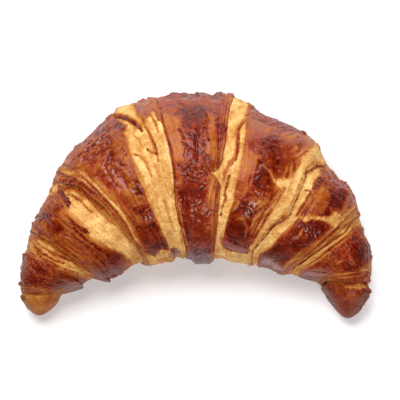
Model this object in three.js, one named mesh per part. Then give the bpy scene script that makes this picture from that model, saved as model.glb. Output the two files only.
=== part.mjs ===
// A pretzel croissant: one roll of laminated dough, curved into a crescent and baked with a lye crust.
// Millimetres, +Z up. It lies flat on z = 0 with its two horns pointing towards -Y, and its fat middle
// turn, whose tail is tucked under the front, towards +Y. The whole food is one solid.

import * as THREE from "three";

// Driving sizes of the roll.
const STEP_DEPTH = 2.7; // how far one turn of dough stands above the next at its edge
const PUFF = 1.5; // how far a turn swells between its two edges
const PUFF_FULLNESS = 0.8; // 1 swells as a sine, less is fuller near the edges
const COVERED_SHARE = 0.55; // how much of a turn rises from under its neighbour
const RIM_LEAN = 0.7; // how far an edge overhangs the turn beneath it
const SQUARENESS = 2.25; // exponent of the section: 2 is an ellipse, more is fuller
const BELLY_SHARE = 0.4; // height of the widest level, as a share of the roll's height
const SINK = 4.5; // how much of the round underside is pressed flat by the tray
const HORN_BLUNTNESS = 2.4; // 2 rounds a horn's end as a circle, more makes it blunter

// The thin layers that show along each free edge, as small steps just before it.
const LEAF_STEPS = [0.84, 0.92]; // where they lie across a turn
const LEAF_DEPTH = 0.45; // how far the surface drops at each
const LEAF_SLOPE = 0.012; // half-width of such a step, as a share of its turn

// The tail of the dough, which ends in a thick lip tucked under the front of the middle turn. The
// angles run round the roll from its back, over the top, to the front at half a turn.
const TAIL_THICKNESS = 2.6;
const TAIL_LIP_START = Math.PI * 0.9;
const TAIL_LIP_FULL = Math.PI * 1.02;
const TAIL_END = Math.PI * 1.13;
const TAIL_END_BLEND = 0.12;
const TAIL_FADE_START = Math.PI * 1.3;
const TAIL_FADE_END = Math.PI * 1.45;
const TAIL_LIP_SHARE = 0.8; // how much of the lip's thickness stands proud of the turn

// Fineness of the faceted solid.
const SEGMENTS = 52; // facets round the roll
const SWELL_ROWS = { tail: 9, body: 8, end: 6, horn: 7 }; // rows between the covered edge and the layers

// One station for each edge where a turn ends, from the left horn to the right one: where the edge
// crosses the back and the front of the crescent in plan, and how high the roll is there. The first
// and the last are the horns' own ends, given as wide as the horn would be if it were cut off there.
const STATIONS = [
  { name: "left horn tip", back: [-80.2, -52.2], front: [-67.3, -50.6], height: 19 },
  { name: "left horn edge", back: [-81.9, -38.5], front: [-61.5, -40.0], height: 28 },
  { name: "second left edge", back: [-77.8, -15.2], front: [-45.0, -35.0], height: 37 },
  { name: "first left edge", back: [-66.0, 14.2], front: [-24.5, -29.0], height: 46 },
  { name: "tail left edge", back: [-23.0, 50.2], front: [-5.0, -26.5], height: 53 },
  { name: "tail right edge", back: [21.0, 51.0], front: [8.5, -26.5], height: 53 },
  { name: "first right edge", back: [60.0, 24.8], front: [27.5, -30.0], height: 47 },
  { name: "second right edge", back: [78.0, -6.5], front: [43.5, -33.0], height: 38 },
  { name: "right horn edge", back: [82.0, -36.5], front: [59.5, -37.5], height: 29 },
  { name: "right horn tip", back: [78.5, -53.2], front: [65.3, -52.2], height: 17 },
];
const LAST = STATIONS.length - 1;
const TAIL_LEFT = 4;
const TAIL_RIGHT = 5;

// The turns of dough between the stations. "inner" is the edge that lies under its neighbour, nearer
// the middle, and "outer" the turn's own free edge. puff and step scale the driving sizes, bow is how
// far the turn's back bulges past the smooth line between its edges, and splits are the cracks in its
// pale stretch: where they lie across the turn, and how deep they are.
const TURNS = [
  { inner: 1, outer: 0, rows: "horn", puff: 0.3, step: 0.8, bow: 0, splits: [] },
  { inner: 2, outer: 1, rows: "end", puff: 0.9, step: 0.9, bow: 1.2, splits: [[0.2, 0.8]] },
  { inner: 3, outer: 2, rows: "body", puff: 1.0, step: 1.0, bow: -2.2, splits: [] },
  { inner: 4, outer: 3, rows: "body", puff: 1.1, step: 0.5, bow: 0.6, splits: [[0.14, 0.6]] },
  { inner: 5, outer: 6, rows: "body", puff: 1.1, step: 0.7, bow: -3.2, splits: [[0.15, 1.3]] },
  { inner: 6, outer: 7, rows: "body", puff: 1.0, step: 1.0, bow: -1.2, splits: [[0.24, 1.5]] },
  { inner: 7, outer: 8, rows: "end", puff: 0.9, step: 0.9, bow: 0.6, splits: [[0.2, 0.8]] },
  { inner: 8, outer: 9, rows: "horn", puff: 0.5, step: 0.8, bow: 0, splits: [] },
];
const TAIL_PUFF = 0.3; // the middle turn's puff, as a share of PUFF
const TAIL_BOW = -1.9; // its bow, in millimetres as for the others
const SPLIT_WIDTH = 0.05; // half-width of a crack, as a share of its turn

// Unevenness of hand-rolled dough, as sums of waves with seeded phases.
const SWAY = 0.035; // how far an edge wanders, as a share of a turn
const SWAY_WAVES = [1, 2, 3, 5, 8]; // waves round the roll
const SWAY_SEED = 11;
const LUMPS = { height: 0.55, seed: 71, along: 5, around: 3 }; // the broad unevenness
const WRINKLES = { height: 0.3, seed: 72, along: 4, around: 15 }; // short ones that run across a turn
const WAVES_IN_A_SUM = 5;
const WAVE_SPREAD = [0.6, 1.6]; // the shortest and longest of them, as shares of the stated one
const ALONG_STEP = 0.01; // a small step along the roll, in stations, to find which way it runs

const clamp = (x, low, high) => Math.min(high, Math.max(low, x));
const mix = (a, b, share) => a + (b - a) * share;

function smooth(from, to, x) {
  const s = clamp((x - from) / (to - from), 0, 1);
  return s * s * (3 - 2 * s);
}

// A small repeatable generator, so that each build gives the same dough.
function seeded(seed) {
  let state = seed >>> 0;
  return () => {
    state = (Math.imul(state, 1664525) + 1013904223) >>> 0;
    return state / 4294967296;
  };
}

// Waves over the angle alone, periodic round the roll, from -1 to 1.
function edgeWave(seed) {
  const draw = seeded(seed);
  const waves = SWAY_WAVES.map((n) => ({ n, phase: draw() * 2 * Math.PI, size: 1 / Math.sqrt(n) }));
  const total = waves.reduce((sum, w) => sum + w.size, 0);
  return (angle) => waves.reduce((sum, w) => sum + w.size * Math.sin(w.n * angle + w.phase), 0) / total;
}

// Waves over the place along the roll and the angle, periodic round the roll, as high as stated.
function surfaceWave({ height, seed, along, around }) {
  const draw = seeded(seed);
  const waves = Array.from({ length: WAVES_IN_A_SUM }, () => ({
    a: along * mix(...WAVE_SPREAD, draw()),
    n: Math.round(around * mix(...WAVE_SPREAD, draw())),
    phase: draw() * 2 * Math.PI,
  }));
  const share = height / waves.length;
  const wave = (w, rho, angle) => share * Math.sin(w.a * rho + w.n * angle + w.phase);
  return (rho, angle) => waves.reduce((sum, w) => sum + wave(w, rho, angle), 0);
}

// A smooth curve through one value of each station: catmull-rom, with the ends carried straight on.
function through(values) {
  return (rho) => {
    const k = clamp(Math.floor(rho), 0, LAST - 1);
    const s = rho - k;
    const p1 = values[k];
    const p2 = values[k + 1];
    const p0 = k > 0 ? values[k - 1] : 2 * p1 - p2;
    const p3 = k + 2 <= LAST ? values[k + 2] : 2 * p2 - p1;
    const m1 = (p2 - p0) / 2;
    const m2 = (p3 - p1) / 2;
    const d = p2 - p1;
    return p1 + s * (m1 + s * (3 * d - 2 * m1 - m2 + s * (m1 + m2 - 2 * d)));
  };
}

const backX = through(STATIONS.map((s) => s.back[0]));
const backY = through(STATIONS.map((s) => s.back[1]));
const frontX = through(STATIONS.map((s) => s.front[0]));
const frontY = through(STATIONS.map((s) => s.front[1]));
const heightAt = through(STATIONS.map((s) => s.height));
const sways = STATIONS.map((_, i) => (i === 0 || i === LAST ? () => 0 : edgeWave(SWAY_SEED + i)));
const lumps = surfaceWave(LUMPS);
const wrinkles = surfaceWave(WRINKLES);

// 1 along the body, falling to 0 where a horn closes.
function hornCap(rho) {
  const beyond = Math.max(1 - rho, rho - (LAST - 1), 0);
  return Math.sqrt(Math.max(0, 1 - Math.pow(beyond, HORN_BLUNTNESS)));
}

// The place on the roll at a station number and an angle round the section, moved outwards by offset.
// Angle 0 is the back, a quarter turn is the top and a half turn the front.
function onRoll(rho, angle, offset) {
  const cap = hornCap(rho);
  const height = heightAt(rho);
  const belly = BELLY_SHARE * height;
  const back = new THREE.Vector2(backX(rho), backY(rho));
  const front = new THREE.Vector2(frontX(rho), frontY(rho));
  const middle = back.clone().add(front).multiplyScalar(0.5);
  const across = back.clone().sub(front).multiplyScalar(0.5);
  const half = across.length();
  const c = Math.cos(angle);
  const s = Math.sin(angle);
  const fuller = (x) => Math.sign(x) * Math.pow(Math.abs(x), 2 / SQUARENESS);
  const reach = s > 0 ? height - belly : belly + SINK;
  const along = half * cap * fuller(c) + offset * cap * c;
  const z = belly + cap * reach * fuller(s) + offset * cap * s;
  across.normalize();
  return new THREE.Vector3(middle.x + across.x * along, middle.y + across.y * along, Math.max(z, 0));
}

// The swelling of a turn, from 0 at one edge to 1 in the middle and back.
const swelling = (v) => Math.pow(Math.sin(Math.PI * clamp(v, 0, 1)), PUFF_FULLNESS);

// 1 at the back of the roll, falling to 0 at its top and at its underside.
const atBack = (angle) => Math.max(0, Math.cos(angle)) ** 2;

// How far the layers have dropped at a share of the way across a turn.
function leafDrop(v) {
  return LEAF_STEPS.reduce((sum, at) => sum + LEAF_DEPTH * smooth(at - LEAF_SLOPE, at + LEAF_SLOPE, v), 0);
}

// How far the surface stands off the plain roll across a turn: low where its neighbour covers it,
// swelling in the middle, with its cracks and layers. v runs from the covered edge to the free one.
function turnRelief(turn, v, angle) {
  const risen = smooth(0, COVERED_SHARE, v);
  const crack = ([at, depth]) => depth * Math.exp(-Math.pow((v - at) / SPLIT_WIDTH, 2));
  const cracks = turn.splits.reduce((sum, split) => sum + crack(split), 0);
  const layers = turn.rows === "horn" ? 0 : leafDrop(v);
  const swell = PUFF * turn.puff * swelling(v) * risen + turn.bow * Math.sin(Math.PI * v) * atBack(angle);
  return swell - STEP_DEPTH * turn.step * (1 - risen) - cracks - layers;
}

// The middle turn, the last one rolled: both of its edges are free, and its tail ends in the lip.
function tailRelief(v, angle) {
  const ended = smooth(TAIL_END, TAIL_END + TAIL_END_BLEND, angle);
  const lip = smooth(TAIL_LIP_START, TAIL_LIP_FULL, angle) * (1 - ended);
  const beyond = ended * (1 - smooth(TAIL_FADE_START, TAIL_FADE_END, angle));
  const tail = TAIL_THICKNESS * (TAIL_LIP_SHARE * lip - beyond) * Math.sin(Math.PI * v);
  const bow = TAIL_BOW * Math.sin(Math.PI * v) * atBack(angle);
  return PUFF * TAIL_PUFF * swelling(v) + bow + tail - leafDrop(v) - leafDrop(1 - v);
}

// Shares across a turn at which its rows lie, from its covered edge: at each side of every crack, then
// evenly over the swelling, then at both sides of each step of the layers, then at its free edge.
function turnShares(turn) {
  const atCracks = turn.splits.flatMap(([at]) => [at - SPLIT_WIDTH, at, at + SPLIT_WIDTH]);
  const atLayers = LEAF_STEPS.flatMap((at) => [at - LEAF_SLOPE, at + LEAF_SLOPE]);
  const from = atCracks.length > 0 ? atCracks[atCracks.length - 1] : 0;
  const to = turn.rows === "horn" ? 1 : atLayers[0];
  const count = SWELL_ROWS[turn.rows] - atCracks.length;
  const evenly = Array.from({ length: count }, (_, i) => mix(from, to, (i + 1) / (count + 1)));
  return turn.rows === "horn" ? [0, ...evenly] : [0, ...atCracks, ...evenly, ...atLayers, 1];
}

// The same for the middle turn, which has layers at both of its edges.
function tailShares() {
  const atLayers = LEAF_STEPS.flatMap((at) => [at - LEAF_SLOPE, at + LEAF_SLOPE]);
  const atOtherLayers = atLayers.map((v) => 1 - v).reverse();
  const count = SWELL_ROWS.tail;
  const from = atOtherLayers[atOtherLayers.length - 1];
  const evenly = Array.from({ length: count }, (_, i) => mix(from, atLayers[0], (i + 1) / (count + 1)));
  return [0, ...atOtherLayers, ...evenly, ...atLayers, 1];
}

// Every row of the mesh in order from the left horn to the right. Each has its place along the roll
// and its relief, both as functions of the angle, and its rim: the way in which it leans over the next
// turn, 1 or -1 along the roll, where it is a turn's free edge.
function rowsOfDough() {
  const rows = [];
  const addRow = (from, to, v, relief, rim) => {
    const rho = (angle) => mix(from, to, v) + SWAY * mix(sways[from](angle), sways[to](angle), v);
    rows.push({ rho, relief, rim });
  };
  const rimOf = (turn, v) => (v === 1 ? Math.sign(turn.outer - turn.inner) : 0);
  for (const turn of TURNS.filter((t) => t.outer < t.inner)) {
    for (const v of turnShares(turn).reverse()) {
      addRow(turn.outer, turn.inner, 1 - v, (angle) => turnRelief(turn, v, angle), rimOf(turn, v));
    }
  }
  for (const v of tailShares()) {
    const rim = v === 0 ? -1 : v === 1 ? 1 : 0;
    addRow(TAIL_LEFT, TAIL_RIGHT, v, (angle) => tailRelief(v, angle), rim);
  }
  for (const turn of TURNS.filter((t) => t.outer > t.inner)) {
    for (const v of turnShares(turn)) {
      addRow(turn.inner, turn.outer, v, (angle) => turnRelief(turn, v, angle), rimOf(turn, v));
    }
  }
  return rows;
}

// The place of one row at one angle, with the unevenness of the dough and the lean of its rim.
function onRow(row, angle) {
  const rho = row.rho(angle);
  const offset = row.relief(angle) + lumps(rho, angle) + wrinkles(rho, angle);
  const place = onRoll(rho, angle, offset);
  if (row.rim !== 0) {
    const ahead = onRoll(rho + ALONG_STEP, angle, offset).sub(place).setZ(0).normalize();
    place.add(ahead.multiplyScalar(row.rim * RIM_LEAN));
  }
  return place;
}

// The closed skin of the roll: rings of points at the rows, and one point at the end of each horn.
function croissantGeometry() {
  const rows = rowsOfDough();
  const positions = [];
  const push = (p) => positions.push(p.x, p.y, p.z);
  push(onRoll(0, 0, 0));
  for (const row of rows) {
    for (let i = 0; i < SEGMENTS; i++) {
      push(onRow(row, (2 * Math.PI * i) / SEGMENTS));
    }
  }
  push(onRoll(LAST, 0, 0));
  const at = (row, i) => 1 + row * SEGMENTS + (i % SEGMENTS);
  const lastRow = rows.length - 1;
  const lastPoint = 1 + rows.length * SEGMENTS;
  const index = [];
  for (let i = 0; i < SEGMENTS; i++) {
    index.push(0, at(0, i + 1), at(0, i));
    index.push(lastPoint, at(lastRow, i), at(lastRow, i + 1));
    for (let row = 0; row < lastRow; row++) {
      const [a, b, c, d] = [at(row, i), at(row, i + 1), at(row + 1, i + 1), at(row + 1, i)];
      index.push(a, b, c, a, c, d);
    }
  }
  const geometry = new THREE.BufferGeometry();
  geometry.setAttribute("position", new THREE.Float32BufferAttribute(positions, 3));
  geometry.setIndex(index);
  return geometry;
}

// The origin is at the middle of the footprint's box, on the surface that the croissant lies on.
function centred(geometry) {
  geometry.computeBoundingBox();
  const { min, max } = geometry.boundingBox;
  geometry.translate(-(min.x + max.x) / 2, -(min.y + max.y) / 2, -min.z);
  geometry.computeVertexNormals();
  return geometry;
}

const crust = new THREE.MeshStandardMaterial({ color: 0x9a5326, roughness: 0.38, metalness: 0 });
const croissant = new THREE.Mesh(centred(croissantGeometry()), crust);
croissant.name = "croissant";

const group = new THREE.Group();
group.add(croissant);

export default group;
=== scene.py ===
"""A pretzel croissant: a roll of laminated dough, bent into a crescent and baked with a dark lye crust.

Every turn of the roll is modelled as a straight sleeve of dough, extruded ring by ring with its thin
layers as ledges, and is then bent onto the crescent. Cracks, flaps, blisters, the brown of the crust
and some painted light and shade are laid on it by their places on the roll: the number of the station
along it, and the degrees round it, where 0 is the back, 90 the top and 180 the front.
"""

import logging
import math
from dataclasses import dataclass
from enum import Enum

import bpy
import numpy as np
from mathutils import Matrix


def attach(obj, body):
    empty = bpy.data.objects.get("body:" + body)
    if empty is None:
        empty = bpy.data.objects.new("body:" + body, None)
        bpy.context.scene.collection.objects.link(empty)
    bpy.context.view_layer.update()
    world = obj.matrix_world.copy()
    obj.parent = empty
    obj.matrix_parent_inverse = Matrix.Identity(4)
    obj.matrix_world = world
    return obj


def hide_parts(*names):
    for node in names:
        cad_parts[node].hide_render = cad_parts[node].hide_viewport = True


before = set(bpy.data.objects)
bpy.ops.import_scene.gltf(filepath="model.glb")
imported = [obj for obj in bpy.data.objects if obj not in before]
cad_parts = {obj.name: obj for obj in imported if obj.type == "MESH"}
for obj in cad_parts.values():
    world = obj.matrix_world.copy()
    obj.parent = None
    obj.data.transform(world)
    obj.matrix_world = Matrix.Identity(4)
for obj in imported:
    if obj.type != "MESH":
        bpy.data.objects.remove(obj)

LOG = logging.getLogger("croissant")

Array = np.ndarray
Table = tuple[tuple[float, float], ...]
Triple = tuple[float, float, float]
Shade = tuple[int, int, int]
Piece = bpy.types.Object
Socket = bpy.types.NodeSocket
Feed = Socket | float | tuple[float, ...]
Feeds = dict[str | int, Feed]

MM = 0.001
NODE = "croissant"
BODY = "root"
ALL_ROUND = np.arange(361.0)
TOP = 90


class BrowningAndShade(Enum):
    """How brown a place of the dough is baked, from raw cream to nearly black; the same levels set how dark
    painted shade is.
    """

    CREAM = 0.14
    STRAW = 0.21
    GOLD = 0.31
    AMBER = 0.43
    RUSSET = 0.55
    CHESTNUT = 0.66
    MAHOGANY = 0.77
    UMBER = 0.86
    BLACKENED = 0.95


class End(Enum):
    """How a turn of dough ends at one of its sides."""

    FREE = "free"
    COVERED = "covered"
    TIP = "tip"


class Creases(Enum):
    """Which way the creases of a turn's glaze run, as how long their cells are in millimetres."""

    ACROSS = (6.0, 2.6, 2.6)
    ALONG = (2.6, 6.5, 6.5)


class Over(Enum):
    """What a kind of unevenness is laid over."""

    ROLL = "the bent roll"
    SLEEVE = "the straight sleeve"
    CREASES = "the straight sleeve, in the cells of its creases"


@dataclass(frozen=True)
class Texture:
    """A kind of unevenness of dough or crust.

    cells are the length of its features in millimetres, or in cells of the creases: one for all ways,
    or one along the roll and two across it. bend is how much it wanders with the others. sharpness
    makes ridges of it, and level is what is then taken off.
    """

    seed: int
    over: Over
    cells: float | Triple
    octaves: int = 2
    gain: float = 0.5
    bend: float = 0.0
    sharpness: float = 0.0
    level: float = 0.0


class Kind(Enum):
    """The kinds of unevenness that the croissant has."""

    BROAD = Texture(71, Over.ROLL, 17.0)
    BLISTER = Texture(72, Over.ROLL, 5.0, gain=0.45, bend=0.3)
    PIMPLE = Texture(73, Over.ROLL, 2.2)
    CREST = Texture(74, Over.CREASES, 1.0, bend=1.0, sharpness=1.5, level=0.35)
    STRAND = Texture(75, Over.SLEEVE, (1.4, 12.0, 12.0))
    CREASE = Texture(76, Over.ROLL, 5.5, bend=1.0, sharpness=4.0)
    FOLD = Texture(77, Over.SLEEVE, (3.4, 11.0, 11.0), bend=0.3)
    WRINKLE = Texture(79, Over.CREASES, 0.9, octaves=1, bend=0.9, sharpness=7.0)
    FLAKE = Texture(86, Over.CREASES, 0.55, bend=0.6, sharpness=2.0, level=0.25)
    WANDER = Texture(81, Over.ROLL, 6.0, octaves=3, gain=0.6)
    FINE_WANDER = Texture(82, Over.ROLL, 1.8, gain=0.6)
    LAYER_STRAND = Texture(83, Over.SLEEVE, (1.1, 16.0, 16.0))
    LAYER_EDGE = Texture(84, Over.SLEEVE, (1.8, 17.0, 17.0), octaves=1, bend=0.15, sharpness=2.0)
    REDNESS = Texture(91, Over.ROLL, 11.0)


RELIEF_KINDS = (Kind.BROAD, Kind.BLISTER, Kind.PIMPLE, Kind.CREST, Kind.STRAND, Kind.CREASE, Kind.FOLD,
                Kind.WRINKLE, Kind.FLAKE)


def smooth(low: float, high: float, x: Array) -> Array:
    """Rises smoothly from 0 to 1 between two values.

    Args:
        low: where it starts to rise.
        high: where it has reached 1.
        x: the values.

    Returns:
        The shares, from 0 to 1.
    """
    share = np.clip((x - low) / (high - low), 0.0, 1.0)
    return share * share * (3.0 - 2.0 * share)


def reading(table: Table, at: Array) -> Array:
    """Reads a table of (place, value) pairs between its entries."""
    return np.interp(at, *zip(*table))


def round_table(table: Table, degrees: Array) -> Array:
    """Reads a table of (degrees, value) pairs that closes on itself round the roll."""
    return np.interp(degrees, *zip(*sorted(table)), period=360.0)


def circle(radius: float, beyond: float) -> Array:
    """Places on a circle, one for each whole degree, for grain that closes on itself round the roll.

    Args:
        radius: how big the circle is, in cells of the grain.
        beyond: how far along its axis it lies, in cells of the grain.

    Returns:
        The places, one row each.
    """
    turned = np.radians(ALL_ROUND)
    level = np.full_like(turned, beyond)
    return np.stack([radius * np.cos(turned), radius * np.sin(turned), level], axis=-1)


class Grain:
    """Seeded gradient noise, which gives dough and crust their unevenness."""

    SIZE = 256
    STRENGTH = 1.6
    OCTAVE_GAP = 17.0
    CHANNEL_GAP = 31.0
    RIDGE_SLOPE = 2.2

    def __init__(self, seed: int) -> None:
        """Draws the lattice.

        Args:
            seed: the number that the draws start from.
        """
        draw = np.random.default_rng(seed)
        self.order = draw.permutation(self.SIZE)
        slopes = draw.normal(size=(self.SIZE, 3))
        self.slopes = slopes / np.linalg.norm(slopes, axis=1, keepdims=True)

    def at(self, points: Array) -> Array:
        """Reads the noise.

        Args:
            points: places in cells of the lattice, one row each.

        Returns:
            Values from about -1 to 1.
        """
        cell = np.floor(points).astype(int)
        part = points - cell
        ease = part**3 * (part * (part * 6.0 - 15.0) + 10.0)
        total = np.zeros(len(points))
        for corner in np.ndindex(2, 2, 2):
            ix, iy, iz = ((cell + corner) % self.SIZE).T
            index = self.order[(self.order[(self.order[ix] + iy) % self.SIZE] + iz) % self.SIZE]
            reach = np.where(np.array(corner) == 1, ease, 1.0 - ease).prod(axis=1)
            total += reach * (self.slopes[index] * (part - corner)).sum(axis=1)
        return self.STRENGTH * total

    def layered(self, points: Array, octaves: int = 2, gain: float = 0.5) -> Array:
        """Adds up finer and finer noise.

        Args:
            points: places in cells of the coarsest noise.
            octaves: how many layers.
            gain: how strong each layer is beside the one before it.

        Returns:
            Values from about -1 to 1.
        """
        sizes = [gain**octave for octave in range(octaves)]
        total = np.zeros(len(points))
        for octave, size in enumerate(sizes):
            total += size * self.at(points * 2.0**octave + self.OCTAVE_GAP * octave)
        return total / sum(sizes)

    def ridged(self, points: Array, octaves: int) -> Array:
        """Noise with sharp creases, from 0 in the open to 1 along a crease."""
        return np.clip(1.0 - self.RIDGE_SLOPE * np.abs(self.layered(points, octaves)), 0.0, 1.0)

    def bent(self, points: Array, by: float) -> Array:
        """Shifts of up to so many cells for places, so that what is drawn over them wanders."""
        return by * np.stack([self.layered(points + self.CHANNEL_GAP * k) for k in range(3)], axis=-1)


@dataclass(frozen=True)
class Station:
    """A place along the roll where one turn of dough ends.

    back and front are where its edge crosses the back and the front of the crescent in plan, and
    height is how high the roll is there, all in millimetres.
    """

    back: tuple[float, float]
    front: tuple[float, float]
    height: float


@dataclass(frozen=True)
class Roll:
    """The plain form of the whole roll, on which the turns of dough lie. Sizes are in millimetres."""

    squareness: float = 2.25
    belly_share: float = 0.4
    sink: float = 4.5
    horn_bluntness: float = 2.4
    centring: Triple = (-0.1025, -0.1315, 0.0)
    step: float = 0.02
    least_station: float = 3.0
    least_degree: float = 0.05
    stations: tuple[Station, ...] = (
        Station((-80.2, -52.2), (-67.3, -50.6), 19.0),
        Station((-81.9, -38.5), (-61.5, -40.0), 28.0),
        Station((-77.8, -15.2), (-45.0, -35.0), 37.0),
        Station((-66.0, 14.2), (-24.5, -29.0), 46.0),
        Station((-23.0, 50.2), (-5.0, -26.5), 53.0),
        Station((21.0, 51.0), (8.5, -26.5), 53.0),
        Station((60.0, 24.8), (27.5, -30.0), 47.0),
        Station((78.0, -6.5), (43.5, -33.0), 38.0),
        Station((82.0, -36.5), (59.5, -37.5), 29.0),
        Station((78.5, -53.2), (65.3, -52.2), 17.0),
    )

    @property
    def last(self) -> int:
        """The number of the last station."""
        return len(self.stations) - 1

    def through(self, values: tuple[float, ...], station: Array) -> Array:
        """A smooth curve through one value of each station, with its ends carried straight on.

        Args:
            values: one value for each station.
            station: places along the roll.

        Returns:
            The values there.
        """
        whole = np.clip(np.floor(station).astype(int), 0, self.last - 1)
        share = station - whole
        row = np.array([2 * values[0] - values[1], *values, 2 * values[-1] - values[-2]])
        before, here, after, beyond = (row[whole + k] for k in range(4))
        leave, arrive, rise = (after - before) / 2, (beyond - here) / 2, after - here
        cubic = leave + arrive - 2 * rise
        return here + share * (leave + share * (3 * rise - 2 * leave - arrive + share * cubic))

    def place(self, station: Array, degrees: Array, offset: Array) -> Array:
        """Places on the roll, moved outwards by an offset.

        Args:
            station: places along the roll.
            degrees: places round it.
            offset: millimetres outwards.

        Returns:
            The places in millimetres, one row each.
        """
        rows = [(*s.back, *s.front, s.height) for s in self.stations]
        back_x, back_y, front_x, front_y, height = (self.through(column, station) for column in zip(*rows))
        beyond = np.maximum(np.maximum(1 - station, station - (self.last - 1)), 0)
        cap = np.sqrt(np.maximum(0, 1 - beyond**self.horn_bluntness))
        belly = self.belly_share * height
        across_x, across_y = (back_x - front_x) / 2, (back_y - front_y) / 2
        half = np.hypot(across_x, across_y)
        cosine, sine = np.cos(np.radians(degrees)), np.sin(np.radians(degrees))
        reach = np.where(sine > 0, height - belly, belly + self.sink)
        along = half * cap * self.fuller(cosine) + offset * cap * cosine
        x = (back_x + front_x) / 2 + across_x / half * along
        y = (back_y + front_y) / 2 + across_y / half * along
        z = belly + cap * reach * self.fuller(sine) + offset * cap * sine
        return np.stack([x, y, z], axis=-1) + np.array(self.centring)

    def fuller(self, x: Array) -> Array:
        """Makes a section fuller than an ellipse."""
        return np.sign(x) * np.abs(x) ** (2 / self.squareness)

    def axis(self, station: Array) -> Array:
        """The middle of the roll at places along it, in millimetres."""
        back = np.zeros_like(station)
        return (self.place(station, back, back) + self.place(station, back + 180.0, back)) / 2

    def stretch(self, station: Array, degrees: Array) -> tuple[Array, Array]:
        """How many millimetres one station and one degree are, at places on the roll.

        Args:
            station: places along the roll.
            degrees: places round it.

        Returns:
            Millimetres for each station, and for each degree.
        """
        level = np.zeros_like(station)
        here = self.place(station, degrees, level)
        inward = np.where(station > self.last / 2, -self.step, self.step)
        along = np.linalg.norm(self.place(station + inward, degrees, level) - here, axis=1) / self.step
        turned = np.linalg.norm(self.place(station, degrees + 1.0, level) - here, axis=1)
        return np.maximum(along, self.least_station), np.maximum(turned, self.least_degree)


ROLL = Roll()

BACK_BULGE: Table = (
    (0.1, 0.5), (0.45, 0.6), (0.7, 1.9), (0.95, -0.5), (1.25, -1.5), (1.6, -0.6), (1.75, -0.4), (1.95, 1.5),
    (2.22, 0.8), (2.4, -0.6), (2.6, -1.0), (2.9, -0.5), (3.1, -0.6), (3.2, 0.2), (3.38, -1.0), (3.6, 0.3),
    (3.72, 1.0), (3.82, -0.3), (4.0, 0.4), (4.1, -1.6), (4.2, -1.2), (4.33, -0.4), (4.44, -1.4),
    (4.6, -0.6), (4.7, -1.6), (4.8, 0.1), (5.1, -0.4), (5.3, -2.0), (5.5, -0.6), (5.7, 1.8), (5.87, 1.9),
    (5.98, 0.0), (6.08, -2.2), (6.25, -1.5), (6.4, -2.0), (6.52, 0.0), (6.62, 1.0), (6.85, 0.5),
    (7.05, -0.4), (7.2, -1.2), (7.3, -1.2), (7.42, -0.3), (7.65, -0.3), (7.9, 0.1), (8.0, 0.0),
    (8.25, 1.3), (8.6, -0.7), (8.8, 0.8),
)
FRONT_BULGE: Table = (
    (0.2, -0.4), (0.6, 0.3), (0.88, 1.6), (1.2, 2.9), (1.35, 2.5), (1.5, -0.8), (1.7, -0.9), (1.95, -0.4),
    (2.1, 1.6), (2.22, 0.2), (2.3, -0.4), (2.42, 0.4), (2.55, -1.2), (2.75, -1.1), (3.05, 0.5), (3.3, -0.5),
    (3.5, -1.0), (3.68, 0.0), (3.8, -1.6), (3.96, 1.1), (4.1, -0.9), (4.2, -1.0), (4.3, 1.0), (4.6, 0.8),
    (4.9, 1.2), (5.05, 1.2), (5.25, -1.2), (5.6, -2.2), (5.75, -1.9), (5.88, -0.5), (6.0, -0.6), (6.1, 0.0),
    (6.25, -1.8), (6.38, -2.8), (6.5, -2.1), (6.6, -1.8), (6.72, -0.4), (6.9, 0.5), (7.15, -0.1),
    (7.5, -1.6), (7.85, -1.6), (8.15, 3.0), (8.4, 1.2), (8.7, -0.3),
)
GLOSS: Table = (
    (0, 0.9), (45, 0.75), (65, 0.5), (90, 0.3), (115, 0.24), (145, 0.2), (165, 0.5), (190, 0.7), (270, 0.4),
)
EDGES: dict[int, Table] = {
    1: ((30, 0.78), (44, 0.76), (92, 0.71), (120, 0.74), (155, 0.8), (200, 0.95), (270, 1.0), (340, 0.9)),
    2: ((27, 2.06), (60, 2.02), (82, 2.0), (111, 1.97), (137, 1.97), (164, 1.96), (270, 2.0)),
    3: ((0, 2.92), (38, 2.92), (47, 2.95), (54, 2.99), (61, 3.03), (70, 3.06), (83, 3.07), (92, 3.1),
        (117, 3.09), (130, 3.07), (141, 3.08), (165, 3.06), (270, 3.0)),
    4: ((30, 4.01), (54, 4.05), (85, 4.1), (104, 4.07), (118, 4.03), (130, 4.02), (144, 4.04), (163, 4.07),
        (270, 4.0)),
    5: ((30, 4.92), (56, 4.895), (78, 4.905), (90, 4.895), (94, 4.85), (97, 4.76), (100, 4.84), (104, 4.92),
        (117, 4.94), (128, 4.96), (145, 4.98), (162, 4.99), (270, 5.0)),
    6: ((10, 6.1), (38, 6.13), (52, 6.03), (60, 6.02), (66, 5.97), (72, 6.01), (82, 6.04), (92, 6.08),
        (103, 6.12), (110, 6.04), (116, 5.95), (125, 5.92), (134, 5.88), (151, 5.8), (180, 5.9), (270, 6.0)),
    7: ((31, 6.97), (68, 7.0), (84, 7.05), (101, 7.08), (122, 7.06), (148, 6.95), (165, 6.95), (270, 7.0)),
    8: ((29, 8.03), (80, 8.1), (110, 8.08), (155, 7.93), (200, 8.0), (270, 8.0)),
}


@dataclass(frozen=True)
class Band:
    """A line across a turn where its browning reaches a shade; between lines it passes over."""

    at: Table
    bake: BrowningAndShade


@dataclass(frozen=True)
class Ledge:
    """The edge of one thin layer, as a small step with an overhang."""

    at: Table
    drop: float


@dataclass(frozen=True)
class Stroke:
    """A crack, a crease, a vein or a painted shadow under a lip, drawn over the crust.

    points are places on the roll, width is its half-width in millimetres, and depth is how far it
    sinks, or rises where it is less than nothing.
    """

    points: Table
    bake: BrowningAndShade
    width: float = 0.7
    depth: float = 0.0
    strength: float = 1.0
    ragged: float = 0.5


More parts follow.
